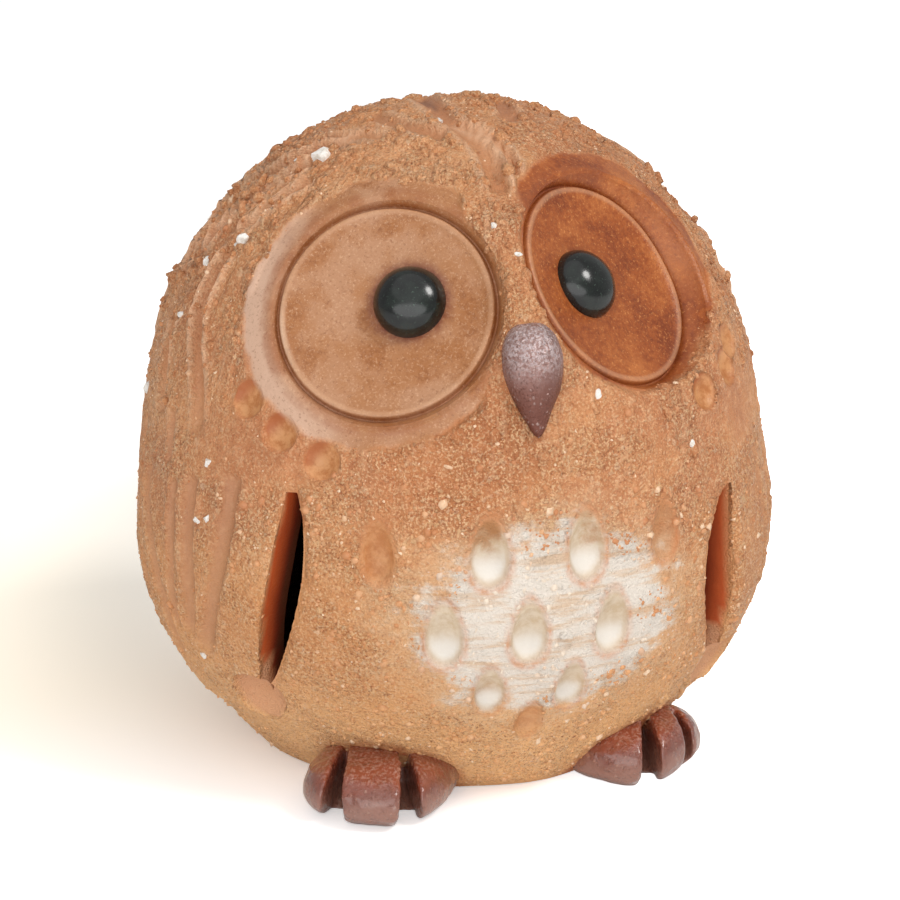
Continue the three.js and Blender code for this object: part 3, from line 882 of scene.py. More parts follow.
def make_body():
    body = body_form()
    carve_and_roughen(body)
    for eye in eyes.values():
        cut_away(body, stamp_cutter(eye))
    cutters = [dimple_cutter(*place) for place in dimples]
    ball = (cheek_radius**2 + cheek_depth**2) / (2 * cheek_depth)
    for bearing, drop in cheek_marks:
        cutters.append(ball_cutter(bearing, body_height - drop, ball, cheek_depth))
    for cutter in cutters:
        cut_away(body, cutter)
    for wing in wings:
        cut_away(body, cut_blade(wing))
        foot_bearing = wing["side"] * (wing["foot"][0] + scoop_aside)
        cut_away(body, ball_cutter(foot_bearing, scoop_height, scoop_radius, scoop_depth))
    hollow = egg_solid(-wall, wall, 96, 30)
    for frame_of_eye in eye_frames.values():
        clay = backing()
        clay.data.transform(frame_of_eye)
        cut_away(hollow, clay)
    cut_away(body, hollow)
    bpy.ops.mesh.primitive_cylinder_add(vertices=64, radius=vent_radius, depth=3 * wall)
    cut_away(body, bpy.context.object)
    dress_body(body)
    hold(body)
    bpy.ops.object.shade_smooth_by_angle(angle=math.radians(sharp_angle))
    return body


def mesh_from(name, corners, faces):
    """A mesh of many triangles, all made at once."""
    mesh = bpy.data.meshes.new(name)
    mesh.vertices.add(len(corners))
    mesh.vertices.foreach_set("co", np.ascontiguousarray(corners, np.float32).ravel())
    mesh.loops.add(faces.size)
    mesh.loops.foreach_set("vertex_index", np.ascontiguousarray(faces, np.int32).ravel())
    mesh.polygons.add(len(faces))
    mesh.polygons.foreach_set("loop_start", np.arange(len(faces), dtype=np.int32) * 3)
    mesh.update(calc_edges=True)
    return in_scene(name, mesh)


def clay_spots(body, layer_name, count, seed):
    """Random places on the clay, as points with the clay's normal there, more where the layer is high."""
    dice = np.random.default_rng(seed)
    mesh = body.data
    mesh.calc_loop_triangles()
    corners = np.empty(len(mesh.loop_triangles) * 3, np.int32)
    mesh.loop_triangles.foreach_get("vertices", corners)
    corners = corners.reshape(-1, 3)
    points = points_of(body)
    weight = np.empty(len(points), np.float32)
    mesh.attributes[layer_name].data.foreach_get("value", weight)
    a, b, c = (points[corners[:, i]] for i in range(3))
    facing = np.cross(b - a, c - a)
    area = np.linalg.norm(facing, axis=1)
    share = weight[corners].mean(1) * area
    chosen = dice.choice(len(corners), count, p=share / share.sum())
    u, v = dice.random(count), dice.random(count)
    over = u + v > 1
    u, v = np.where(over, 1 - u, u)[:, None], np.where(over, 1 - v, v)[:, None]
    spots = a[chosen] * (1 - u - v) + b[chosen] * u + c[chosen] * v
    return spots, facing[chosen] / np.maximum(area[chosen], 1e-9)[:, None], dice


def pebble(subdivisions):
    """Corners and faces of a ball of radius 1 in triangles."""
    bpy.ops.mesh.primitive_ico_sphere_add(subdivisions=subdivisions, radius=1)
    ball = bpy.context.object
    shape = points_of(ball)
    faces = np.array([tuple(face.vertices) for face in ball.data.polygons])
    bpy.data.objects.remove(ball)
    return shape, faces


def scattered(name, shapes, faces, turns, sizes, centres):
    """One piece of many small forms, each turned, scaled and put in its own place."""
    forms = np.einsum("nij,nvj->nvi", turns, shapes) * sizes[:, None, None] + centres[:, None]
    first = np.arange(len(sizes))[:, None, None] * shapes.shape[1]
    return mesh_from(name, forms.reshape(-1, 3), (faces[None] + first).reshape(-1, 3))


def make_grit(name, body, layer_name, count, seed, smallest, largest, sink):
    """Grains fired into the clay, each sunk in it by about a share of its size."""
    shape, faces = pebble(1)
    spots, out, dice = clay_spots(body, layer_name, count, seed)
    sizes = smallest + (largest - smallest) * dice.random(count) ** 2.2
    turns = np.linalg.qr(dice.normal(size=(count, 3, 3)))[0]
    turns *= np.sign(np.linalg.det(turns))[:, None, None]
    stretch = dice.uniform(0.7, 1.3, (count, 1, 3))
    uneven = dice.uniform(0.6, 1.3, (count, len(shape), 1))
    centres = spots - out * (sizes * dice.uniform(sink - 0.35, sink + 0.35, count))[:, None]
    grit = scattered(name, shape[None] * stretch * uneven, faces, turns, sizes, centres)
    mark(grit, "tone", np.repeat(dice.random(count), len(shape)))
    mark(grit, "fade", np.repeat(slip_over(spots), len(shape)))
    return grit


def make_clumps(body, count, seed):
    """Lumps of torn clay, mostly on the head, with the clay's own finish."""
    shape, faces = pebble(2)
    spots, out, dice = clay_spots(body, "crumbly", count, seed)
    sizes = 0.5 + 0.9 * dice.random(count) ** 1.8
    across = np.cross(out, dice.normal(size=(count, 3)))
    across /= np.linalg.norm(across, axis=1)[:, None]
    turns = np.stack([across, np.cross(out, across), out], 2)
    wide, deep = dice.uniform(0.8, 1.5, count), dice.uniform(0.7, 1.1, count)
    stretch = np.stack([wide, deep, np.full(count, 0.75)], 1)
    lumps = shape[None] * stretch[:, None] * dice.uniform(0.72, 1.25, (count, len(shape), 1))
    clumps = scattered("clumps", lumps, faces, turns, sizes, spots - out * (0.25 * sizes)[:, None])
    corners = count * len(shape)
    mark(clumps, "rough", np.full(corners, 0.55))
    for side in eyes:
        mark(clumps, side + "_reach", np.full(corners, 60.0))
        mark(clumps, side + "_span", np.full(corners, 60.0))
    return smoothed(clumps)


def slip_over(points):
    """How much white slip covers each point of the breast."""
    east, north = points[:, 0] - slip_aside, points[:, 2] - slip_height
    ring = np.hypot(east / slip_half_width, north / slip_half_height)
    torn = 0.7 * noise_at(points, 7.0, 31.0)
    return (1 - smoothstep(ring + torn, 0.6, 1.1)) * (points[:, 1] < -25)


# White feldspar chips: bearing, height and half size
chip_places = [(-69.7, 111.9, 1.9), (-74.8, 110.5, 1.1), (-72.9, 98.7, 1.2), (-75, 97.6, 0.5)]
chip_places += [(-22.5, 118.5, 1.0), (-83, 93.4, 0.8), (-61.2, 62.6, 1.1), (-59.6, 53.2, 1.0)]
chip_places += [(-62.4, 52.4, 1.0), (-3.9, 103.6, 0.7), (0.6, 99.2, 0.6), (13.2, 76.9, 0.9)]
chip_places += [(33.3, 65.6, 0.7), (-97, 68, 1.6), (-100, 62, 1.3), (-84, 84, 0.9), (-66, 26, 0.8)]
back_chips = 26


def make_chips(body):
    """Angular white stones fired into the clay."""
    dice = random.Random(8)
    places = list(chip_places)
    while len(places) < len(chip_places) + back_chips:
        bearing = dice.uniform(75, 262)
        places.append((bearing, dice.uniform(12, 113), dice.uniform(0.4, 1.3)))
    chips = []
    for bearing, height, size in places:
        bpy.ops.mesh.primitive_ico_sphere_add(subdivisions=3, radius=size)
        chip = bpy.context.object
        points = points_of(chip)
        for _ in range(9):
            facet = np.array(Vector((dice.gauss(0, 1), dice.gauss(0, 1), dice.gauss(0, 1))).normalized())
            limit = size * dice.uniform(0.4, 0.8)
            points = points - np.outer(np.clip(points @ facet - limit, 0, None), facet)
        points[:, 0] *= dice.uniform(0.9, 1.5)
        points += 0.06 * size * noise_at(points, 0.3, height)[:, None]
        move_points(chip, points)
        turn, centre = egg_frame(bearing, min(height, 119.2))
        raised = float(lift(np.array([bearing]), np.array([height]))[0])
        spot = body.closest_point_on_mesh(centre + turn @ Vector((0, 0, raised)))[1]
        centre = spot - turn @ Vector((0, 0, 0.2 * size))
        chip.data.transform(placed(turn @ Matrix.Rotation(dice.uniform(0, 6.28), 4, "Z"), centre))
        chips.append(chip)
    chips = joined(chips)
    chips.name = "feldspar_chips"
    return chips


def make_bead(side):
    eye = eyes[side]
    outline = []
    for i in range(25):
        angle = math.radians(-28 + 118 * i / 24)
        outline.append((bead_radius * max(math.cos(angle), 0) ** 0.92, bead_rise * math.sin(angle)))
    outline[-1] = (0, bead_rise)
    outline.insert(0, (0, outline[0][1]))
    bead = spun(side + "_bead", outline, 96)
    points = points_of(bead)
    points += normals_of(bead) * (0.1 * noise_at(points, 5.0, eye["turn"]))[:, None]
    move_points(bead, points)
    x, y = eye["bead"]
    floor = -disc_hollow * (1 - (x * x + y * y) / disc_radius**2)
    bead.data.transform(eye_frames[side] @ Matrix.Translation((x, y, floor)))
    return smoothed(bead)


def make_beak():
    outline = [(0, 0)]
    for i in range(1, 40):
        share = i / 40
        flank = math.sin(math.pi / 2 * min(share / 0.7, 1)) ** 0.85
        over = max((share - 0.7) / 0.3, 0)
        outline.append((beak_half_width * flank * math.sqrt(1 - over**2), beak_length * share))
    outline.append((0, beak_length))
    beak = spun("beak_drop", outline, 72)
    points = points_of(beak)
    points[:, 1] *= beak_thickness / beak_half_width
    move_points(beak, points)
    dents = 0.22 * noise_at(points, 2.6, 3.0) + 0.25 * noise_at(points, 6, 1.0)
    points += normals_of(beak) * dents[:, None]
    move_points(beak, points)
    tip_height = body_height - beak_tip_drop
    tip = egg_point(beak_bearing, tip_height, 1.0)
    top = egg_point(beak_bearing, tip_height + beak_length, 1.6)
    angle = math.radians(beak_bearing)
    across = Vector((math.cos(angle), math.sin(angle), 0))
    up = (top - tip).normalized()
    back = up.cross(across)
    beak.data.transform(placed(Matrix((across, back, up)).transposed().to_4x4(), tip))
    return smoothed(beak)


def foot_middle(foot):
    reach = float(egg_radius(foot_height)) - foot["sink"]
    angle = math.radians(foot["bearing"])
    return Vector((reach * math.sin(angle), -reach * math.cos(angle), 0))


def toe_notch(foot, side):
    """A notch between two toes, whose floor falls towards the front."""
    mouth = notch_root + notch_growth * notch_length
    corners = [(-notch_root / 2, 0), (notch_root / 2, 0)]
    corners += [(mouth / 2, notch_length), (-mouth / 2, notch_length)]
    mesh = bpy.data.meshes.new("notch")
    floor = [(x, y, notch_floor - notch_fall * y) for x, y in corners]
    mesh.from_pydata(floor, [], [(0, 1, 2, 3)])
    notch = in_scene("notch", mesh)
    open_mesh(notch)
    bpy.ops.mesh.extrude_region_move(TRANSFORM_OT_translate={"value": (0, 0, 2 * foot_height)})
    bpy.ops.transform.resize(value=(0.3, 1, 1), center_override=(0, 0, 0))
    close_outwards()
    turned = math.radians(foot["aim"])
    aside = Vector((math.cos(turned), math.sin(turned), 0)) * (foot["shift"] + side * foot["apart"] / 2)
    ahead = Vector((math.sin(turned), -math.cos(turned), 0))
    root = foot_middle(foot) + aside - ahead * notch_behind
    turn = Matrix.Rotation(turned + math.radians(side * notch_fan) + math.pi, 4, "Z")
    notch.data.transform(placed(turn, root))
    return notch


def make_foot(name, foot):
    """A lump cut into three toes by two notches, softened as wet clay is by a thumb."""
    rise = foot_height - foot_belly
    belly = foot_belly + foot_undercut
    start = -math.asin(foot_belly / belly)
    outline = [(0, 0)]
    for i in range(24):
        angle = start + (math.pi / 2 - start) * i / 24
        level = belly * math.sin(angle) if angle < 0 else rise * math.sin(angle) ** 0.8
        outline.append((math.cos(angle) ** 0.8, foot_belly + level))
    outline.append((0, foot_height))
    lump = spun(name, outline, 72)
    points = points_of(lump)
    radius = np.maximum(np.hypot(points[:, 0], points[:, 1]), 1e-6)
    share = np.abs(points[:, :2] / radius[:, None]) ** foot_squareness
    full = np.maximum(share.sum(1), 0.1) ** (-1 / foot_squareness)
    points[:, 0] *= full * foot["half_width"]
    points[:, 1] *= full * foot["reach"]
    move_points(lump, points)
    turn = Matrix.Rotation(math.radians(foot["bearing"]), 4, "Z")
    lump.data.transform(placed(turn, foot_middle(foot)))
    for side in (-1, 1):
        cut_away(lump, toe_notch(foot, side))
    finish_with(lump, "REMESH", mode="VOXEL", voxel_size=toe_grid)
    finish_with(lump, "SMOOTH", factor=0.6, iterations=20)
    points = points_of(lump)
    dents = 0.3 * noise_at(points, 5, 1.0) + 0.14 * noise_at(points, 1.5, 6.0) + 0.1
    points += normals_of(lump) * dents[:, None]
    points[:, 2] = np.maximum(points[:, 2], 0)
    move_points(lump, points)
    return smoothed(lump)


# Colours, written as they are seen
def seen(red, green, blue):
    line = []
    for level in (red, green, blue):
        share = level / 255
        line.append(share / 12.92 if share <= 0.04045 else ((share + 0.055) / 1.055) ** 2.4)
    return (*line, 1.0)


# Building of materials
def fresh(name):
    material = bpy.data.materials.new(name)
    material.use_nodes = True
    tree = material.node_tree
    shader = tree.nodes["Principled BSDF"]
    return material, tree, shader


def add(tree, kind, **settings):
    made = tree.nodes.new("ShaderNode" + kind)
    for name, value in settings.items():
        setattr(made, name, value)
    return made


def feed(tree, value, socket):
    if isinstance(value, bpy.types.NodeSocket):
        tree.links.new(value, socket)
    else:
        socket.default_value = value


def reckoned(tree, operation, *values):
    made = add(tree, "Math", operation=operation)
    for value, socket in zip(values, made.inputs):
        feed(tree, value, socket)
    return made.outputs[0]


def chained(tree, operation, values):
    result = values[0]
    for value in values[1:]:
        result = reckoned(tree, operation, result, value)
    return result


def times(tree, *values):
    return chained(tree, "MULTIPLY", values)


def plus(tree, *values):
    return chained(tree, "ADD", values)


def most(tree, *values):
    return chained(tree, "MAXIMUM", values)


def scaled(tree, value, factor, offset):
    return reckoned(tree, "MULTIPLY_ADD", value, factor, offset)


def mixed(tree, share, one, other):
    made = add(tree, "Mix", data_type="RGBA")
    for value, place in ((share, 0), (one, 6), (other, 7)):
        feed(tree, value, made.inputs[place])
    return made.outputs[2]


def painted(tree, under, colour, *shares):
    """A colour laid over another one, as strongly as the product of its shares."""
    return mixed(tree, times(tree, *shares), under, colour)


def stepped(tree, value, low, high, bottom=0.0, top=1.0):
    made = add(tree, "MapRange", interpolation_type="SMOOTHSTEP")
    for level, socket in zip((value, low, high, bottom, top), made.inputs):
        feed(tree, level, socket)
    return made.outputs[0]


def shades(tree, value, stops):
    made = add(tree, "ValToRGB")
    feed(tree, value, made.inputs[0])
    steps = made.color_ramp.elements
    while len(steps) < len(stops):
        steps.new(0.5)
    for step, (place, colour) in zip(steps, stops):
        step.position = place
        step.color = seen(*colour)
    return made.outputs[0]


def layer(tree, name):
    return add(tree, "Attribute", attribute_name=name, attribute_type="GEOMETRY").outputs["Fac"]


def cloud(tree, where, size, detail=3.0, rough=0.55, seed=0.0):
    made = add(tree, "TexNoise", noise_dimensions="4D")
    values = {"Vector": where, "W": seed, "Scale": 1 / size, "Detail": detail, "Roughness": rough}
    for name, value in values.items():
        feed(tree, value, made.inputs[name])
    return made.outputs["Fac"]


def in_millimetres(tree, stretch=(1, 1, 1)):
    made = add(tree, "Mapping")
    feed(tree, add(tree, "TexCoord").outputs["Object"], made.inputs["Vector"])
    made.inputs["Scale"].default_value = [share / millimetre for share in stretch]
    return made.outputs["Vector"]


def vector_of(tree, operation, *values):
    made = add(tree, "VectorMath", operation=operation)
    for value, socket in zip(values, made.inputs):
        feed(tree, value, socket)
    return made.outputs["Value" if operation == "DISTANCE" else "Vector"]


def axes_of(tree, where):
    parts = add(tree, "SeparateXYZ")
    feed(tree, where, parts.inputs[0])
    return parts.outputs


def settle(tree, shader, **values):
    """Sets the shader's sockets. A name's low dashes stand for spaces."""
    for name, value in values.items():
        feed(tree, value, shader.inputs[name.replace("_", " ")])


def new_group(name, inputs, outputs):
    """An empty node group, with its first and last node."""
    group = bpy.data.node_groups.new(name, "ShaderNodeTree")
    for sockets, direction in ((inputs, "INPUT"), (outputs, "OUTPUT")):
        for socket, kind in sockets.items():
            group.interface.new_socket(socket, in_out=direction, socket_type="NodeSocket" + kind)
    return group, group.nodes.new("NodeGroupInput"), group.nodes.new("NodeGroupOutput")


def grain_group():
    """Grains of one size: each grain's own tone, its dome and its mask."""
    group, start, end = new_group(
        "grains", {"Vector": "Vector", "Size": "Float"}, {"Tone": "Float", "Dome": "Float", "Mask": "Float"})
    wobble = add(group, "TexNoise")
    feed(group, start.outputs["Vector"], wobble.inputs["Vector"])
    feed(group, 1.1, wobble.inputs["Scale"])
    uneven = vector_of(
        group, "MULTIPLY_ADD", wobble.outputs["Color"], (0.9, 0.9, 0.9), start.outputs["Vector"])
    cells = add(group, "TexVoronoi")
    feed(group, uneven, cells.inputs["Vector"])
    feed(group, reckoned(group, "DIVIDE", 1.0, start.outputs["Size"]), cells.inputs["Scale"])
    parts = add(group, "SeparateColor")
    feed(group, cells.outputs["Color"], parts.inputs[0])
    reach = scaled(group, parts.outputs[1], 0.25, 0.28)
    share = reckoned(group, "DIVIDE", cells.outputs["Distance"], reach)
    dome = most(group, reckoned(group, "SUBTRACT", 1.0, times(group, share, share)), 0.0)
    feed(group, parts.outputs[0], end.inputs["Tone"])
    feed(group, dome, end.inputs["Dome"])
    feed(group, stepped(group, share, 1.05, 0.8), end.inputs["Mask"])
    return group


# Size, detail, roughness and seed of the clay's torn crags, and the middle of the painted shade below the
# beak
crag_look = (1.7, 5.0, 0.68, 14.0)
beak_shade_middle = (-12.0, -53.0, 68.0)


def tint_group():
    """The clay's colour, without what lies on it, with painted shade and highlight on its crags, painted
    shade below the beak and painted light low on the body.
    """
    group, start, end = new_group("clay_tint", {"Vector": "Vector"}, {"Tint": "Color"})
    where = start.outputs["Vector"]
    height = axes_of(group, where)[2]
    clay = shades(group, cloud(group, where, 20.0, 4.0, 0.55, 3.0), [
        (0.36, (190, 122, 78)), (0.47, (201, 133, 87)), (0.57, (210, 144, 94)), (0.7, (219, 159, 111))])
    crags = cloud(group, where, *crag_look)
    # Painted shade in the pits of the crags and painted highlight on their tops, following the crags' relief
    clay = painted(group, clay, seen(168, 98, 60), stepped(group, crags, 0.46, 0.32, 0.0, 0.6))
    clay = painted(group, clay, seen(231, 174, 130), stepped(group, crags, 0.52, 0.68, 0.0, 0.75))
    clay = painted(group, clay, seen(218, 156, 96), stepped(group, height, 62.0, 34.0, 0.0, 0.45))
    off_beak_shade = vector_of(group, "DISTANCE", where, beak_shade_middle)
    # Painted shade below the beak's tip, on the owl's right, darker and redder towards its middle
    clay = painted(group, clay, seen(182, 108, 60), stepped(group, off_beak_shade, 22.0, 5.0, 0.0, 0.55))
    # Painted light low on the body, where the clay faces the floor
    clay = painted(group, clay, seen(252, 200, 140), stepped(group, height, 36.0, 5.0, 0.0, 0.85))
    feed(group, clay, end.inputs["Tint"])
    return group


grains = grain_group()
clay_tint = tint_group()


def grouped(tree, group, *values):
    made = add(tree, "Group")
    made.node_tree = group
    for value, socket in zip(values, made.inputs):
        feed(tree, value, socket)
    return made.outputs


def raise_bumps(tree, shader, height, strength, depth_mm):
    bump = add(tree, "Bump")
    feed(tree, height, bump.inputs["Height"])
    feed(tree, strength, bump.inputs["Strength"])
    feed(tree, depth_mm * millimetre, bump.inputs["Distance"])
    feed(tree, bump.outputs["Normal"], shader.inputs["Normal"])


# The coarse clay, built up layer by layer from its tint, which already holds painted shade and light
def grainy_clay(tree, where, rough, clay):
    """Grains of two sizes in the coarse places, and their relief."""
    tone, dome, mask = grouped(tree, grains, where, 1.2)
    stone = shades(tree, tone, [
        (0.0, (172, 102, 60)), (0.25, (200, 134, 86)), (0.55, (216, 158, 110)),
        (0.8, (230, 184, 140)), (0.95, (240, 212, 180))])
    clay = painted(tree, clay, stone, mask, rough, 0.4)
    tone, small_dome, mask = grouped(tree, grains, where, 0.6)
    stone = shades(tree, tone, [
        (0.0, (160, 90, 52)), (0.3, (196, 128, 80)), (0.62, (220, 164, 116)), (0.88, (240, 204, 164))])
    clay = painted(tree, clay, stone, mask, scaled(tree, rough, 0.4, 0.12))
    return clay, times(tree, plus(tree, times(tree, dome, 0.35), times(tree, small_dome, 0.3)), rough)


def glinting_clay(tree, where, height, rough, glints, clay):
    """Painted glints of light on the raised sand, cream grits, and painted shade as dark specks in the sand's
    pits.
    """
    # Painted highlights: pale glints on the raised sand
    clay = painted(tree, clay, seen(240, 196, 150), stepped(tree, glints, 0.54, 0.61), rough, 0.85)
    cream = stepped(tree, cloud(tree, where, 1.3, 3.0, 0.6, 63.0), 0.58, 0.66)
    low = stepped(tree, height, 72.0, 50.0, 0.25, 0.85)
    clay = painted(tree, clay, seen(232, 186, 136), cream, low, rough)
    # Painted shade: dark specks in the pits of the sand
    return painted(tree, clay, seen(166, 98, 60), stepped(tree, glints, 0.42, 0.34), rough, 0.85)


def dragged_clay(tree, where, height, rough, clay):
    """Drag lines that run down from the crown, and their relief, with painted shade in their furrows and
    painted highlight on their ridges.
    """
    around = vector_of(tree, "NORMALIZE", vector_of(tree, "MULTIPLY", where, (1, 1, 0)))
    down = add(tree, "CombineXYZ")
    feed(tree, times(tree, height, 0.12), down.inputs[2])
    flow = vector_of(tree, "MULTIPLY_ADD", around, (body_radius, body_radius, 0), down.outputs[0])
    streak = cloud(tree, flow, 1.3, 4.0, 0.6, 71.0)
    high = times(tree, stepped(tree, height, 56.0, 80.0), stepped(tree, height, 116.0, 110.0))
    dragged = times(tree, rough, high)
    # Painted shade in the drag lines' furrows and painted highlight on their ridges, following their relief
    clay = painted(tree, clay, seen(166, 98, 60), stepped(tree, streak, 0.46, 0.34, 0.0, 0.5), dragged)
    clay = painted(tree, clay, seen(236, 184, 144), stepped(tree, streak, 0.54, 0.66, 0.0, 0.5), dragged)
    return clay, times(tree, streak, dragged, 2.6)


def slipped_clay(tree, where, mottle, clay):
    """White slip dragged across the breast, pooled in its dimples, and the plain press marks."""
    x, y, z = axes_of(tree, where)
    east = reckoned(tree, "DIVIDE", reckoned(tree, "SUBTRACT", x, slip_aside), slip_half_width)
    north = reckoned(tree, "DIVIDE", reckoned(tree, "SUBTRACT", z, slip_height), slip_half_height)
    ring = reckoned(tree, "SQRT", plus(tree, times(tree, east, east), times(tree, north, north)))
    drag = cloud(tree, in_millimetres(tree, (0.13, 0.13, 1.0)), 1.8, 5.0, 0.65, 2.0)
    blot = cloud(tree, where, 7.0, 5.0, 0.65, 11.0)
    reach = plus(tree, ring, plus(tree, scaled(tree, drag, 0.5, -0.25), scaled(tree, blot, 1.2, -0.6)))
    front = stepped(tree, y, -20.0, -30.0)
    clay = painted(tree, clay, seen(236, 206, 168), stepped(tree, reach, 1.5, 0.8), front, 0.5)
    white = painted(tree, seen(234, 224, 212), seen(218, 184, 150), stepped(tree, drag, 0.47, 0.64, 0.0, 0.8))
    clay = painted(tree, clay, white, stepped(tree, reach, 1.12, 0.86), front, 0.95)
    patchy = stepped(tree, mottle, 0.4, 0.6, 0.35, 0.8)
    clay = painted(tree, clay, seen(208, 138, 90), layer(tree, "lip"), patchy)
    torn = plus(tree, ring, scaled(tree, blot, 1.6, -0.8))
    bowl = times(tree, layer(tree, "bowl"), stepped(tree, torn, 1.35, 0.85))
    brown = painted(tree, seen(192, 140, 92), seen(160, 104, 58), mottle)
    clay = painted(tree, clay, brown, layer(tree, "bowl"), 0.9)
    cream = painted(tree, seen(216, 202, 180), seen(202, 182, 152), stepped(tree, mottle, 0.4, 0.6))
    clay = painted(tree, clay, cream, bowl, 0.85)
    pooled = stepped(tree, torn, 1.5, 1.05)
    clay = painted(tree, clay, seen(227, 221, 212), layer(tree, "pool"), pooled, 0.92)
    honey = painted(tree, seen(206, 148, 98), seen(178, 112, 62), stepped(tree, mottle, 0.4, 0.62))
    clay = painted(tree, clay, honey, layer(tree, "amber"))
    # Painted shade on the upper inner walls of the cheek marks
    clay = painted(tree, clay, seen(168, 88, 42), layer(tree, "shaded"), 0.8)
    wet = stepped(tree, mottle, 0.62, 0.4, 0.35, 0.9)
    return painted(tree, clay, seen(190, 96, 52), layer(tree, "seat"), wet), bowl


def pink_disc(tree, where, aside, reach, spots, drift):
    """Pinkish burnished clay round the owl's right eye, with olive clouds, brown spots and a painted sheen.
    """
    pink = painted(tree, seen(180, 131, 96), seen(170, 115, 73), stepped(tree, drift, 0.4, 0.6))
    olive = cloud(tree, where, 7.5, 3.0, 0.5, 27.0)
    pink = painted(tree, pink, seen(158, 98, 50), stepped(tree, olive, 0.5, 0.64, 0.0, 0.75))
    density = stepped(tree, olive, 0.44, 0.64, 0.62, 0.46)
    leopard = stepped(tree, reckoned(tree, "SUBTRACT", spots, density), 0.0, 0.14)
    pink = painted(tree, pink, seen(132, 76, 38), leopard, 0.5)
    pale = cloud(tree, where, 0.4, 3.0, 0.75, 33.0)
    pink = painted(tree, pink, seen(218, 176, 140), stepped(tree, pale, 0.5, 0.72, 0.0, 0.6))
    # Painted reflection: a pale sheen on the ring's outer side
    painted_sheen = times(tree, stepped(tree, aside, -26.0, -40.0), stepped(tree, reach, 19.5, 23.0))
    pink = painted(tree, pink, seen(222, 186, 162), painted_sheen, 0.7)
    # A dark ring round the bead: iron glaze bled from it, and painted shade where the bead sits on the disc
    stain_and_shade = stepped(tree, spots, 0.36, 0.56, 0.5, 1.0)
    return painted(tree, pink, seen(122, 62, 44), layer(tree, "halo"), stain_and_shade)


def burnished_clay(tree, where, edge, reaches, nearest):
    """Pinkish clay round the owl's right eye, rusty round its left, with the stamps' rims and grooves; the
    rims get painted highlights, and the grooves iron oxide with painted shade.
    """
    aside = axes_of(tree, where)[0]
    spots = cloud(tree, where, 0.9, 4.0, 0.78, 21.0)
    drift = cloud(tree, where, 9.0, 3.0, 0.5, 23.0)
    pink = pink_disc(tree, where, aside, reaches["right"], spots, drift)
    rust = shades(tree, plus(tree, times(tree, drift, 0.55), times(tree, spots, 0.45)), [
        (0.4, (126, 58, 24)), (0.5, (156, 80, 34)), (0.62, (184, 108, 54))])
    at_left = reckoned(tree, "LESS_THAN", reaches["left"], reaches["right"])
    smooth = painted(tree, pink, rust, at_left)
    specks = cloud(tree, where, 0.55, 3.0, 0.7, 31.0)
    smooth = painted(tree, smooth, seen(124, 72, 42), stepped(tree, specks, 0.54, 0.68, 0.0, 0.45))
    lights = cloud(tree, where, 0.5, 3.0, 0.7, 35.0)
    smooth = painted(tree, smooth, seen(216, 144, 84), stepped(tree, lights, 0.56, 0.66), at_left, 0.6)
    # Painted highlights: a pale line on each disc's rim, brightest on the owl's right side
    rim_highlight = times(tree, stepped(tree, nearest, 17.4, 18.1), stepped(tree, nearest, 18.9, 18.5))
    smooth = painted(tree, smooth, seen(220, 174, 138), rim_highlight, 0.3)
    smooth = painted(tree, smooth, seen(252, 230, 206), rim_highlight, stepped(tree, aside, -36.0, -42.0, 0.0, 0.8))
    # Darker in the groove round each disc: iron oxide gathered there, and painted shade
    groove = times(tree, stepped(tree, nearest, 18.6, 18.95), stepped(tree, nearest, 20.3, 19.6))
    smooth = painted(tree, smooth, seen(128, 62, 30), groove, 0.35)
    bank = times(tree, stepped(tree, nearest, 19.8, 20.3), stepped(tree, nearest, 23.0, 22.0))
    return painted(tree, smooth, seen(150, 84, 48), bank, stepped(tree, edge, 0.35, 0.6), 0.4)


def cut_clay(tree, height, mottle, clay):
    """Cut faces of the wings with painted shade deeper in, their scooped feet, the inside in painted shade,
    and the furrows and crests of the comb.
    """
    grain = cloud(tree, in_millimetres(tree, (1, 1, 0.25)), 1.6, 4.0, 0.6, 41.0)
    blade = painted(tree, seen(216, 106, 54), seen(174, 72, 38), grain)
    # Painted shade, darker deeper into the wing cuts
    blade = painted(tree, blade, seen(112, 42, 28), layer(tree, "deep"))
    clay = painted(tree, clay, blade, layer(tree, "cut"))
    scoop = painted(tree, seen(222, 168, 134), seen(200, 140, 104), mottle)
    clay = painted(tree, clay, scoop, layer(tree, "facet"), 0.7)
    # Painted shade: the skin of the hollow, dark brown
    clay = painted(tree, clay, seen(104, 58, 38), layer(tree, "inside"))
    furrow = painted(tree, seen(190, 134, 98), seen(160, 102, 66), mottle)
    clay = painted(tree, clay, furrow, layer(tree, "carved"), stepped(tree, height, 66.0, 84.0, 0.0, 0.6))
    crest = stepped(tree, height, 60.0, 84.0, 0.1, 0.5)
    clay = painted(tree, clay, seen(240, 196, 160), layer(tree, "ridges"), crest)
    trail = painted(tree, seen(198, 150, 116), seen(172, 120, 84), mottle)
    return painted(tree, clay, trail, layer(tree, "carved"), stepped(tree, height, 84.0, 62.0, 0.0, 0.65))


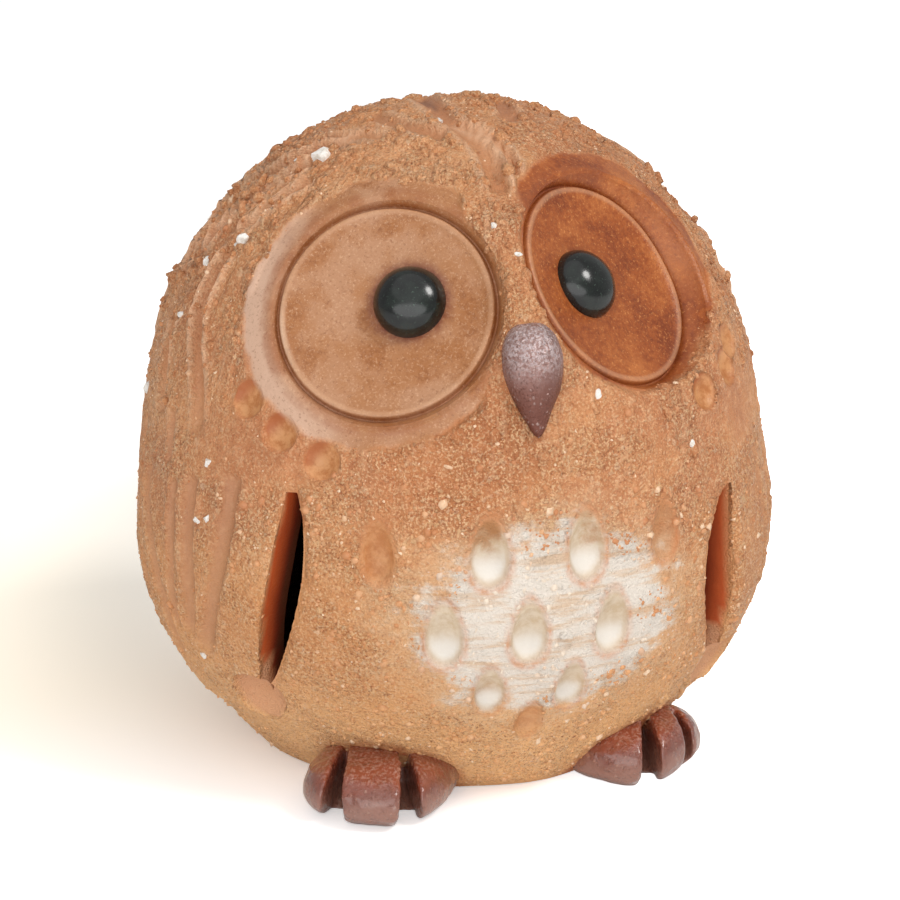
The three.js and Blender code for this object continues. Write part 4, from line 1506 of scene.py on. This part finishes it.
def coarse_clay():
    material, tree, shader = fresh("coarse_clay")
    where = in_millimetres(tree)
    height = axes_of(tree, where)[2]
    rough = layer(tree, "rough")
    mottle = cloud(tree, where, 2.4, 6.0, 0.7, 7.0)
    glints = cloud(tree, where, 0.42, 2.0, 0.6, 61.0)
    edge = cloud(tree, where, 5.0, 4.0, 0.6, 1.0)

    reaches = {side: layer(tree, side + "_reach") for side in eyes}
    nearest = reckoned(tree, "MINIMUM", *reaches.values())
    span = reckoned(tree, "MINIMUM", *(layer(tree, side + "_span") for side in eyes))
    frayed = plus(tree, span, scaled(tree, edge, 3.6, -1.8))
    bridge = most(tree, layer(tree, "off_bridge"), stepped(tree, nearest, 21.0, 19.8))
    ring = times(tree, stepped(tree, frayed, 25.6, 24.2), bridge)
    burnished = most(tree, stepped(tree, nearest, 20.8, 19.9), ring)

    clay = grouped(tree, clay_tint, where)[0]
    clay, grain_relief = grainy_clay(tree, where, rough, clay)
    clay = glinting_clay(tree, where, height, rough, glints, clay)
    clay, drag_relief = dragged_clay(tree, where, height, rough, clay)
    clay, bowl = slipped_clay(tree, where, mottle, clay)
    clay = painted(tree, clay, burnished_clay(tree, where, edge, reaches, nearest), burnished)
    clay = cut_clay(tree, height, mottle, clay)

    calm = most(tree, burnished, most(tree, layer(tree, "cut"), times(tree, bowl, 0.9)))
    calm = most(tree, calm, times(tree, layer(tree, "carved"), 0.5), layer(tree, "amber"))
    dull = reckoned(tree, "SUBTRACT", stepped(tree, calm, 0.0, 1.0, 0.58, 0.38), 0.1)
    shine = times(tree, stepped(tree, glints, 0.52, 0.6, 0.0, 0.6), rough)
    dull = times(tree, scaled(tree, mottle, 0.2, dull), reckoned(tree, "SUBTRACT", 1.0, shine))
    settle(tree, shader, Base_Color=clay, Roughness=dull, Specular_IOR_Level=0.4)

    fine = cloud(tree, where, 0.45, 3.0, 0.6, 51.0)
    sand = plus(tree, times(tree, fine, 0.5), times(tree, glints, 0.9))
    crags = times(tree, cloud(tree, where, *crag_look), rough, 2.6)
    relief = plus(tree, grain_relief, plus(tree, sand, crags, drag_relief))
    raise_bumps(tree, shader, relief, stepped(tree, calm, 0.0, 1.0, 1.0, 0.2), 0.6)
    return material


def grit_clay():
    material, tree, shader = fresh("grit_clay")
    where = in_millimetres(tree)
    tone = layer(tree, "tone")
    stone = shades(tree, tone, [
        (0.0, (176, 112, 70)), (0.3, (204, 144, 98)), (0.6, (216, 160, 114)),
        (0.85, (228, 180, 136)), (1.0, (244, 216, 184))])
    own = grouped(tree, clay_tint, where)[0]
    stone = painted(tree, own, stone, stepped(tree, tone, 0.6, 1.0, 0.4, 0.95))
    fine = cloud(tree, where, 0.6, 4.0, 0.65, 5.0)
    stone = painted(tree, stone, seen(186, 120, 74), stepped(tree, fine, 0.45, 0.65, 0.0, 0.4))
    stone = painted(tree, stone, seen(234, 220, 202), layer(tree, "fade"), 0.9)
    settle(tree, shader, Base_Color=stone, Roughness=0.34)
    raise_bumps(tree, shader, fine, 0.7, 0.2)
    return material


def feldspar():
    material, tree, shader = fresh("feldspar")
    fine = cloud(tree, in_millimetres(tree), 0.8, 4.0, 0.65, 15.0)
    stone = painted(tree, seen(242, 238, 232), seen(214, 204, 190), stepped(tree, fine, 0.4, 0.65))
    settle(tree, shader, Base_Color=stone, Roughness=0.4)
    raise_bumps(tree, shader, fine, 0.6, 0.3)
    return material


def black_glaze():
    material, tree, shader = fresh("black_glaze")
    where = in_millimetres(tree)
    flecks = cloud(tree, where, 0.45, 3.0, 0.7, 5.0)
    pools = cloud(tree, where, 3.5, 2.0, 0.5, 9.0)
    glaze = painted(tree, seen(12, 15, 14), seen(26, 33, 29), stepped(tree, pools, 0.4, 0.62))
    glaze = painted(tree, glaze, seen(70, 88, 76), stepped(tree, flecks, 0.6, 0.72))
    settle(tree, shader, Base_Color=glaze, Roughness=0.2, Coat_Weight=0.15, Coat_Roughness=0.06)
    raise_bumps(tree, shader, flecks, 0.12, 0.1)
    return material


def sparkling(tree, shader, where, dome, size, sharpness, strength):
    """The fine relief of the dark glazes."""
    sparks = cloud(tree, where, size, 3.0, 0.7, 16.0)
    raise_bumps(tree, shader, plus(tree, dome, times(tree, sparks, sharpness)), strength, 0.22)


def beak_glaze():
    material, tree, shader = fresh("beak_glaze")
    where = in_millimetres(tree)
    spread = cloud(tree, where, 4.0, 4.0, 0.6, 5.0)
    # Painted light and shade: the beak lighter towards its top and darker at its foot
    rise = stepped(tree, axes_of(tree, where)[2], 70.0, 92.0, 0.0, 0.75)
    tint = shades(tree, plus(tree, rise, scaled(tree, spread, 0.8, -0.3)), [
        (0.05, (108, 58, 44)), (0.4, (126, 84, 74)), (0.8, (158, 126, 120))])
    tone, dome, mask = grouped(tree, grains, where, 0.6)
    tint = painted(tree, tint, seen(214, 190, 182), mask, stepped(tree, tone, 0.5, 1.0, 0.0, 0.4))
    # Painted highlight: pale sparkle on the beak's upper middle
    painted_sparkle = cloud(tree, where, 0.55, 3.0, 0.7, 18.0)
    off_painted_highlight = vector_of(tree, "DISTANCE", where, (0.5, -52.5, 86.0))
    middle = times(tree, stepped(tree, off_painted_highlight, 8.0, 2.0), stepped(tree, painted_sparkle, 0.4, 0.6))
    tint = painted(tree, tint, seen(218, 204, 204), middle, 0.8)
    settle(tree, shader, Base_Color=tint, Metallic=0.5, Roughness=0.23)
    sparkling(tree, shader, where, dome, 0.5, 2.0, 0.7)
    return material


def foot_glaze():
    material, tree, shader = fresh("foot_glaze")
    where = in_millimetres(tree)
    height = axes_of(tree, where)[2]
    spread = cloud(tree, where, 5.0, 4.0, 0.6, 5.0)
    rise = stepped(tree, height, 1.0, 11.0, 0.7, 0.0)
    tint = shades(tree, plus(tree, rise, scaled(tree, spread, 0.8, -0.4)), [
        (0.05, (142, 66, 42)), (0.3, (124, 68, 52)), (0.6, (146, 100, 84))])
    tone, dome, mask = grouped(tree, grains, where, 0.8)
    tint = painted(tree, tint, seen(196, 150, 128), mask, stepped(tree, tone, 0.6, 1.0, 0.0, 0.3))
    painted_sparkle = cloud(tree, where, 0.6, 3.0, 0.7, 18.0)
    # Painted highlight: pale sparkle on the toes' tops
    painted_top_light = times(tree, stepped(tree, height, 7.2, 9.6), stepped(tree, painted_sparkle, 0.47, 0.62))
    tint = painted(tree, tint, seen(206, 166, 148), painted_top_light, 0.42)
    settle(tree, shader, Base_Color=tint, Roughness=0.26, Coat_Weight=1.0, Coat_Roughness=0.14)
    sparkling(tree, shader, where, dome, 0.55, 1.6, 0.8)
    return material


def by_camera_ray(tree, otherwise, when_seen, end):
    """Ends a tree in one shader for the camera's own rays and another one for all else."""
    pick = add(tree, "MixShader")
    sources = (add(tree, "LightPath").outputs["Is Camera Ray"], otherwise, when_seen)
    for source, socket in zip(sources, pick.inputs):
        feed(tree, source, socket)
    feed(tree, pick.outputs[0], tree.nodes[end].inputs["Surface"])


# The painted soft shadow on the floor, a pool of dimmer glow: its turn in degrees, shift and half sizes
shadow_pool_turn = 14.72
shadow_pool_shift = (-5.8, -135.0, 0)
shadow_pool_half_width = 127.0
shadow_pool_half_depth = 239.0


def floor_card():
    """White card with painted warm shade far on the left, and a painted soft shadow as a grey pool of dimmer
    glow round the owl's foot.
    """
    material, tree, shader = fresh("floor_card")
    where = in_millimetres(tree)
    x, y, _ = axes_of(tree, where)
    beyond = times(tree, stepped(tree, y, -50.0, 40.0), stepped(tree, y, 420.0, 160.0))
    # Painted warm shade, cream on the card to the left and behind the owl
    warm_shade = times(tree, stepped(tree, x, 20.0, -90.0), beyond)
    card = painted(tree, seen(255, 255, 255), seen(252, 243, 226), warm_shade)
    pool = add(tree, "Mapping")
    feed(tree, where, pool.inputs["Vector"])
    pool.inputs["Rotation"].default_value = (0, 0, math.radians(shadow_pool_turn))
    pool.inputs["Location"].default_value = shadow_pool_shift
    side, deep, _ = axes_of(tree, pool.outputs[0])
    aside = reckoned(tree, "DIVIDE", scaled(tree, deep, -0.16, side), shadow_pool_half_width)
    ahead = reckoned(tree, "DIVIDE", deep, shadow_pool_half_depth)
    away = reckoned(tree, "SQRT", plus(tree, times(tree, aside, aside), times(tree, ahead, ahead)))
    # Painted shadow: the glow is dimmer in the pool, so the floor stays grey round the owl's foot
    bright = most(tree, stepped(tree, away, 0.56, 0.86, 0.2, 0.5), stepped(tree, side, -10.0, 30.0))
    settle(tree, shader, Base_Color=card, Roughness=0.9, Specular_IOR_Level=0.1)
    glow = add(tree, "Emission")
    settle(tree, glow, Color=card, Strength=bright)
    both = add(tree, "AddShader")
    feed(tree, shader.outputs[0], both.inputs[0])
    feed(tree, glow.outputs[0], both.inputs[1])
    by_camera_ray(tree, shader.outputs[0], both.outputs[0], "Material Output")
    return material


def dress(piece, material, slot, *nodes):
    piece.data.materials.clear()
    piece.data.materials.append(material)
    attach(piece, "root")
    if nodes:
        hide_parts(*nodes)


# Light, floor and camera
def aim(piece, azimuth, elevation, distance, target_height):
    """Points a lamp or camera at a place over the middle of the floor, from that far away."""
    turn, rise = math.radians(azimuth), math.radians(elevation)
    level = math.cos(rise)
    back = Vector((math.sin(turn) * level, -math.cos(turn) * level, math.sin(rise)))
    piece.location = Vector((0, 0, target_height)) + back * distance
    piece.rotation_euler = (-back).to_track_quat("-Z", "Y").to_euler()


# Lamps: name, azimuth and elevation in degrees and distance, width and height, watts, colour
lamps = [
    ("key_lamp", (46, 48, 1.1), (0.34, 0.34), 4.4, (1.0, 0.98, 0.95)),
    ("top_lamp", (-30, 68, 1.1), (1.7, 1.7), 3.3, (1, 1, 1)),
    ("front_lamp", (-22, 13, 1.0), (1.7, 0.62), 4.9, (1, 1, 1)),
]
lamp_target = 0.055
world_strength = 0.42

# The camera's azimuth and elevation in degrees, its distance and the height it looks at
camera_place = (-14.72, 16.09, 0.5635)
camera_target = 0.05342


def lamp(name, place, sizes, power, colour):
    light = bpy.data.lights.new(name, "AREA")
    light.shape = "ELLIPSE"
    light.size, light.size_y = sizes
    light.energy = power
    light.color = colour
    aim(in_scene(name, light), *place, lamp_target)


def light_the_table():
    for name, place, sizes, power, colour in lamps:
        lamp(name, place, sizes, power, colour)
    world = bpy.data.worlds.new("studio")
    bpy.context.scene.world = world
    world.use_nodes = True
    tree = world.node_tree
    dim = tree.nodes["Background"]
    settle(tree, dim, Color=(1, 1, 1, 1), Strength=world_strength)
    white = add(tree, "Background")
    settle(tree, white, Color=(1, 1, 1, 1), Strength=1.0)
    by_camera_ray(tree, dim.outputs[0], white.outputs[0], "World Output")
    bpy.ops.mesh.primitive_plane_add(size=8)
    floor = bpy.context.object
    floor.name = "floor"
    floor.data.materials.append(floor_card())


def place_camera():
    data = bpy.data.cameras.new("camera")
    data.sensor_width = 36
    data.lens = 120
    data.clip_start = 0.02
    data.clip_end = 20
    camera = in_scene("camera", data)
    aim(camera, *camera_place, camera_target)
    bpy.context.scene.camera = camera


place_camera()
light_the_table()

# Grains: the layer they gather on, how many, the seed, smallest and largest half size, and how
# far each is sunk
grit_kinds = {
    "fine_grit": ("rough", 9000, 21, 0.18, 0.38, 0.5),
    "light_grit": ("rough", 6500, 24, 0.22, 0.44, 0.55),
    "belly_grit": ("sandy", 2600, 23, 0.4, 1.0, 0.68)}

owl_body = make_body()
grit = [make_grit(name, owl_body, *kind) for name, kind in grit_kinds.items()]
clumps = make_clumps(owl_body, 1500, 22)
chips = make_chips(owl_body)
right_bead = make_bead("right")
left_bead = make_bead("left")
beak_drop = make_beak()
right_toes = make_foot("right_toes", right_foot)
left_toes = make_foot("left_toes", left_foot)

glazed = (right_bead, left_bead, beak_drop, right_toes, left_toes)
for piece in (owl_body, *grit, clumps, chips, *glazed):
    piece.data.transform(Matrix.Scale(millimetre, 4))

bead_finish = black_glaze()
toe_finish = foot_glaze()
clay_finish = coarse_clay()
dress(owl_body, clay_finish, "coarse_clay", "body_shell")
dress(clumps, clay_finish, "coarse_clay")
grit_finish = grit_clay()
for piece in grit:
    dress(piece, grit_finish, "coarse_clay")
dress(chips, feldspar(), "coarse_clay")
dress(right_bead, bead_finish, "black_glaze", "right_eye_bead")
dress(left_bead, bead_finish, "black_glaze", "left_eye_bead")
dress(beak_drop, beak_glaze(), "beak_glaze", "beak")
dress(right_toes, toe_finish, "foot_glaze", "right_foot")
dress(left_toes, toe_finish, "foot_glaze", "left_foot")

bpy.context.scene.view_settings.view_transform = "Standard"
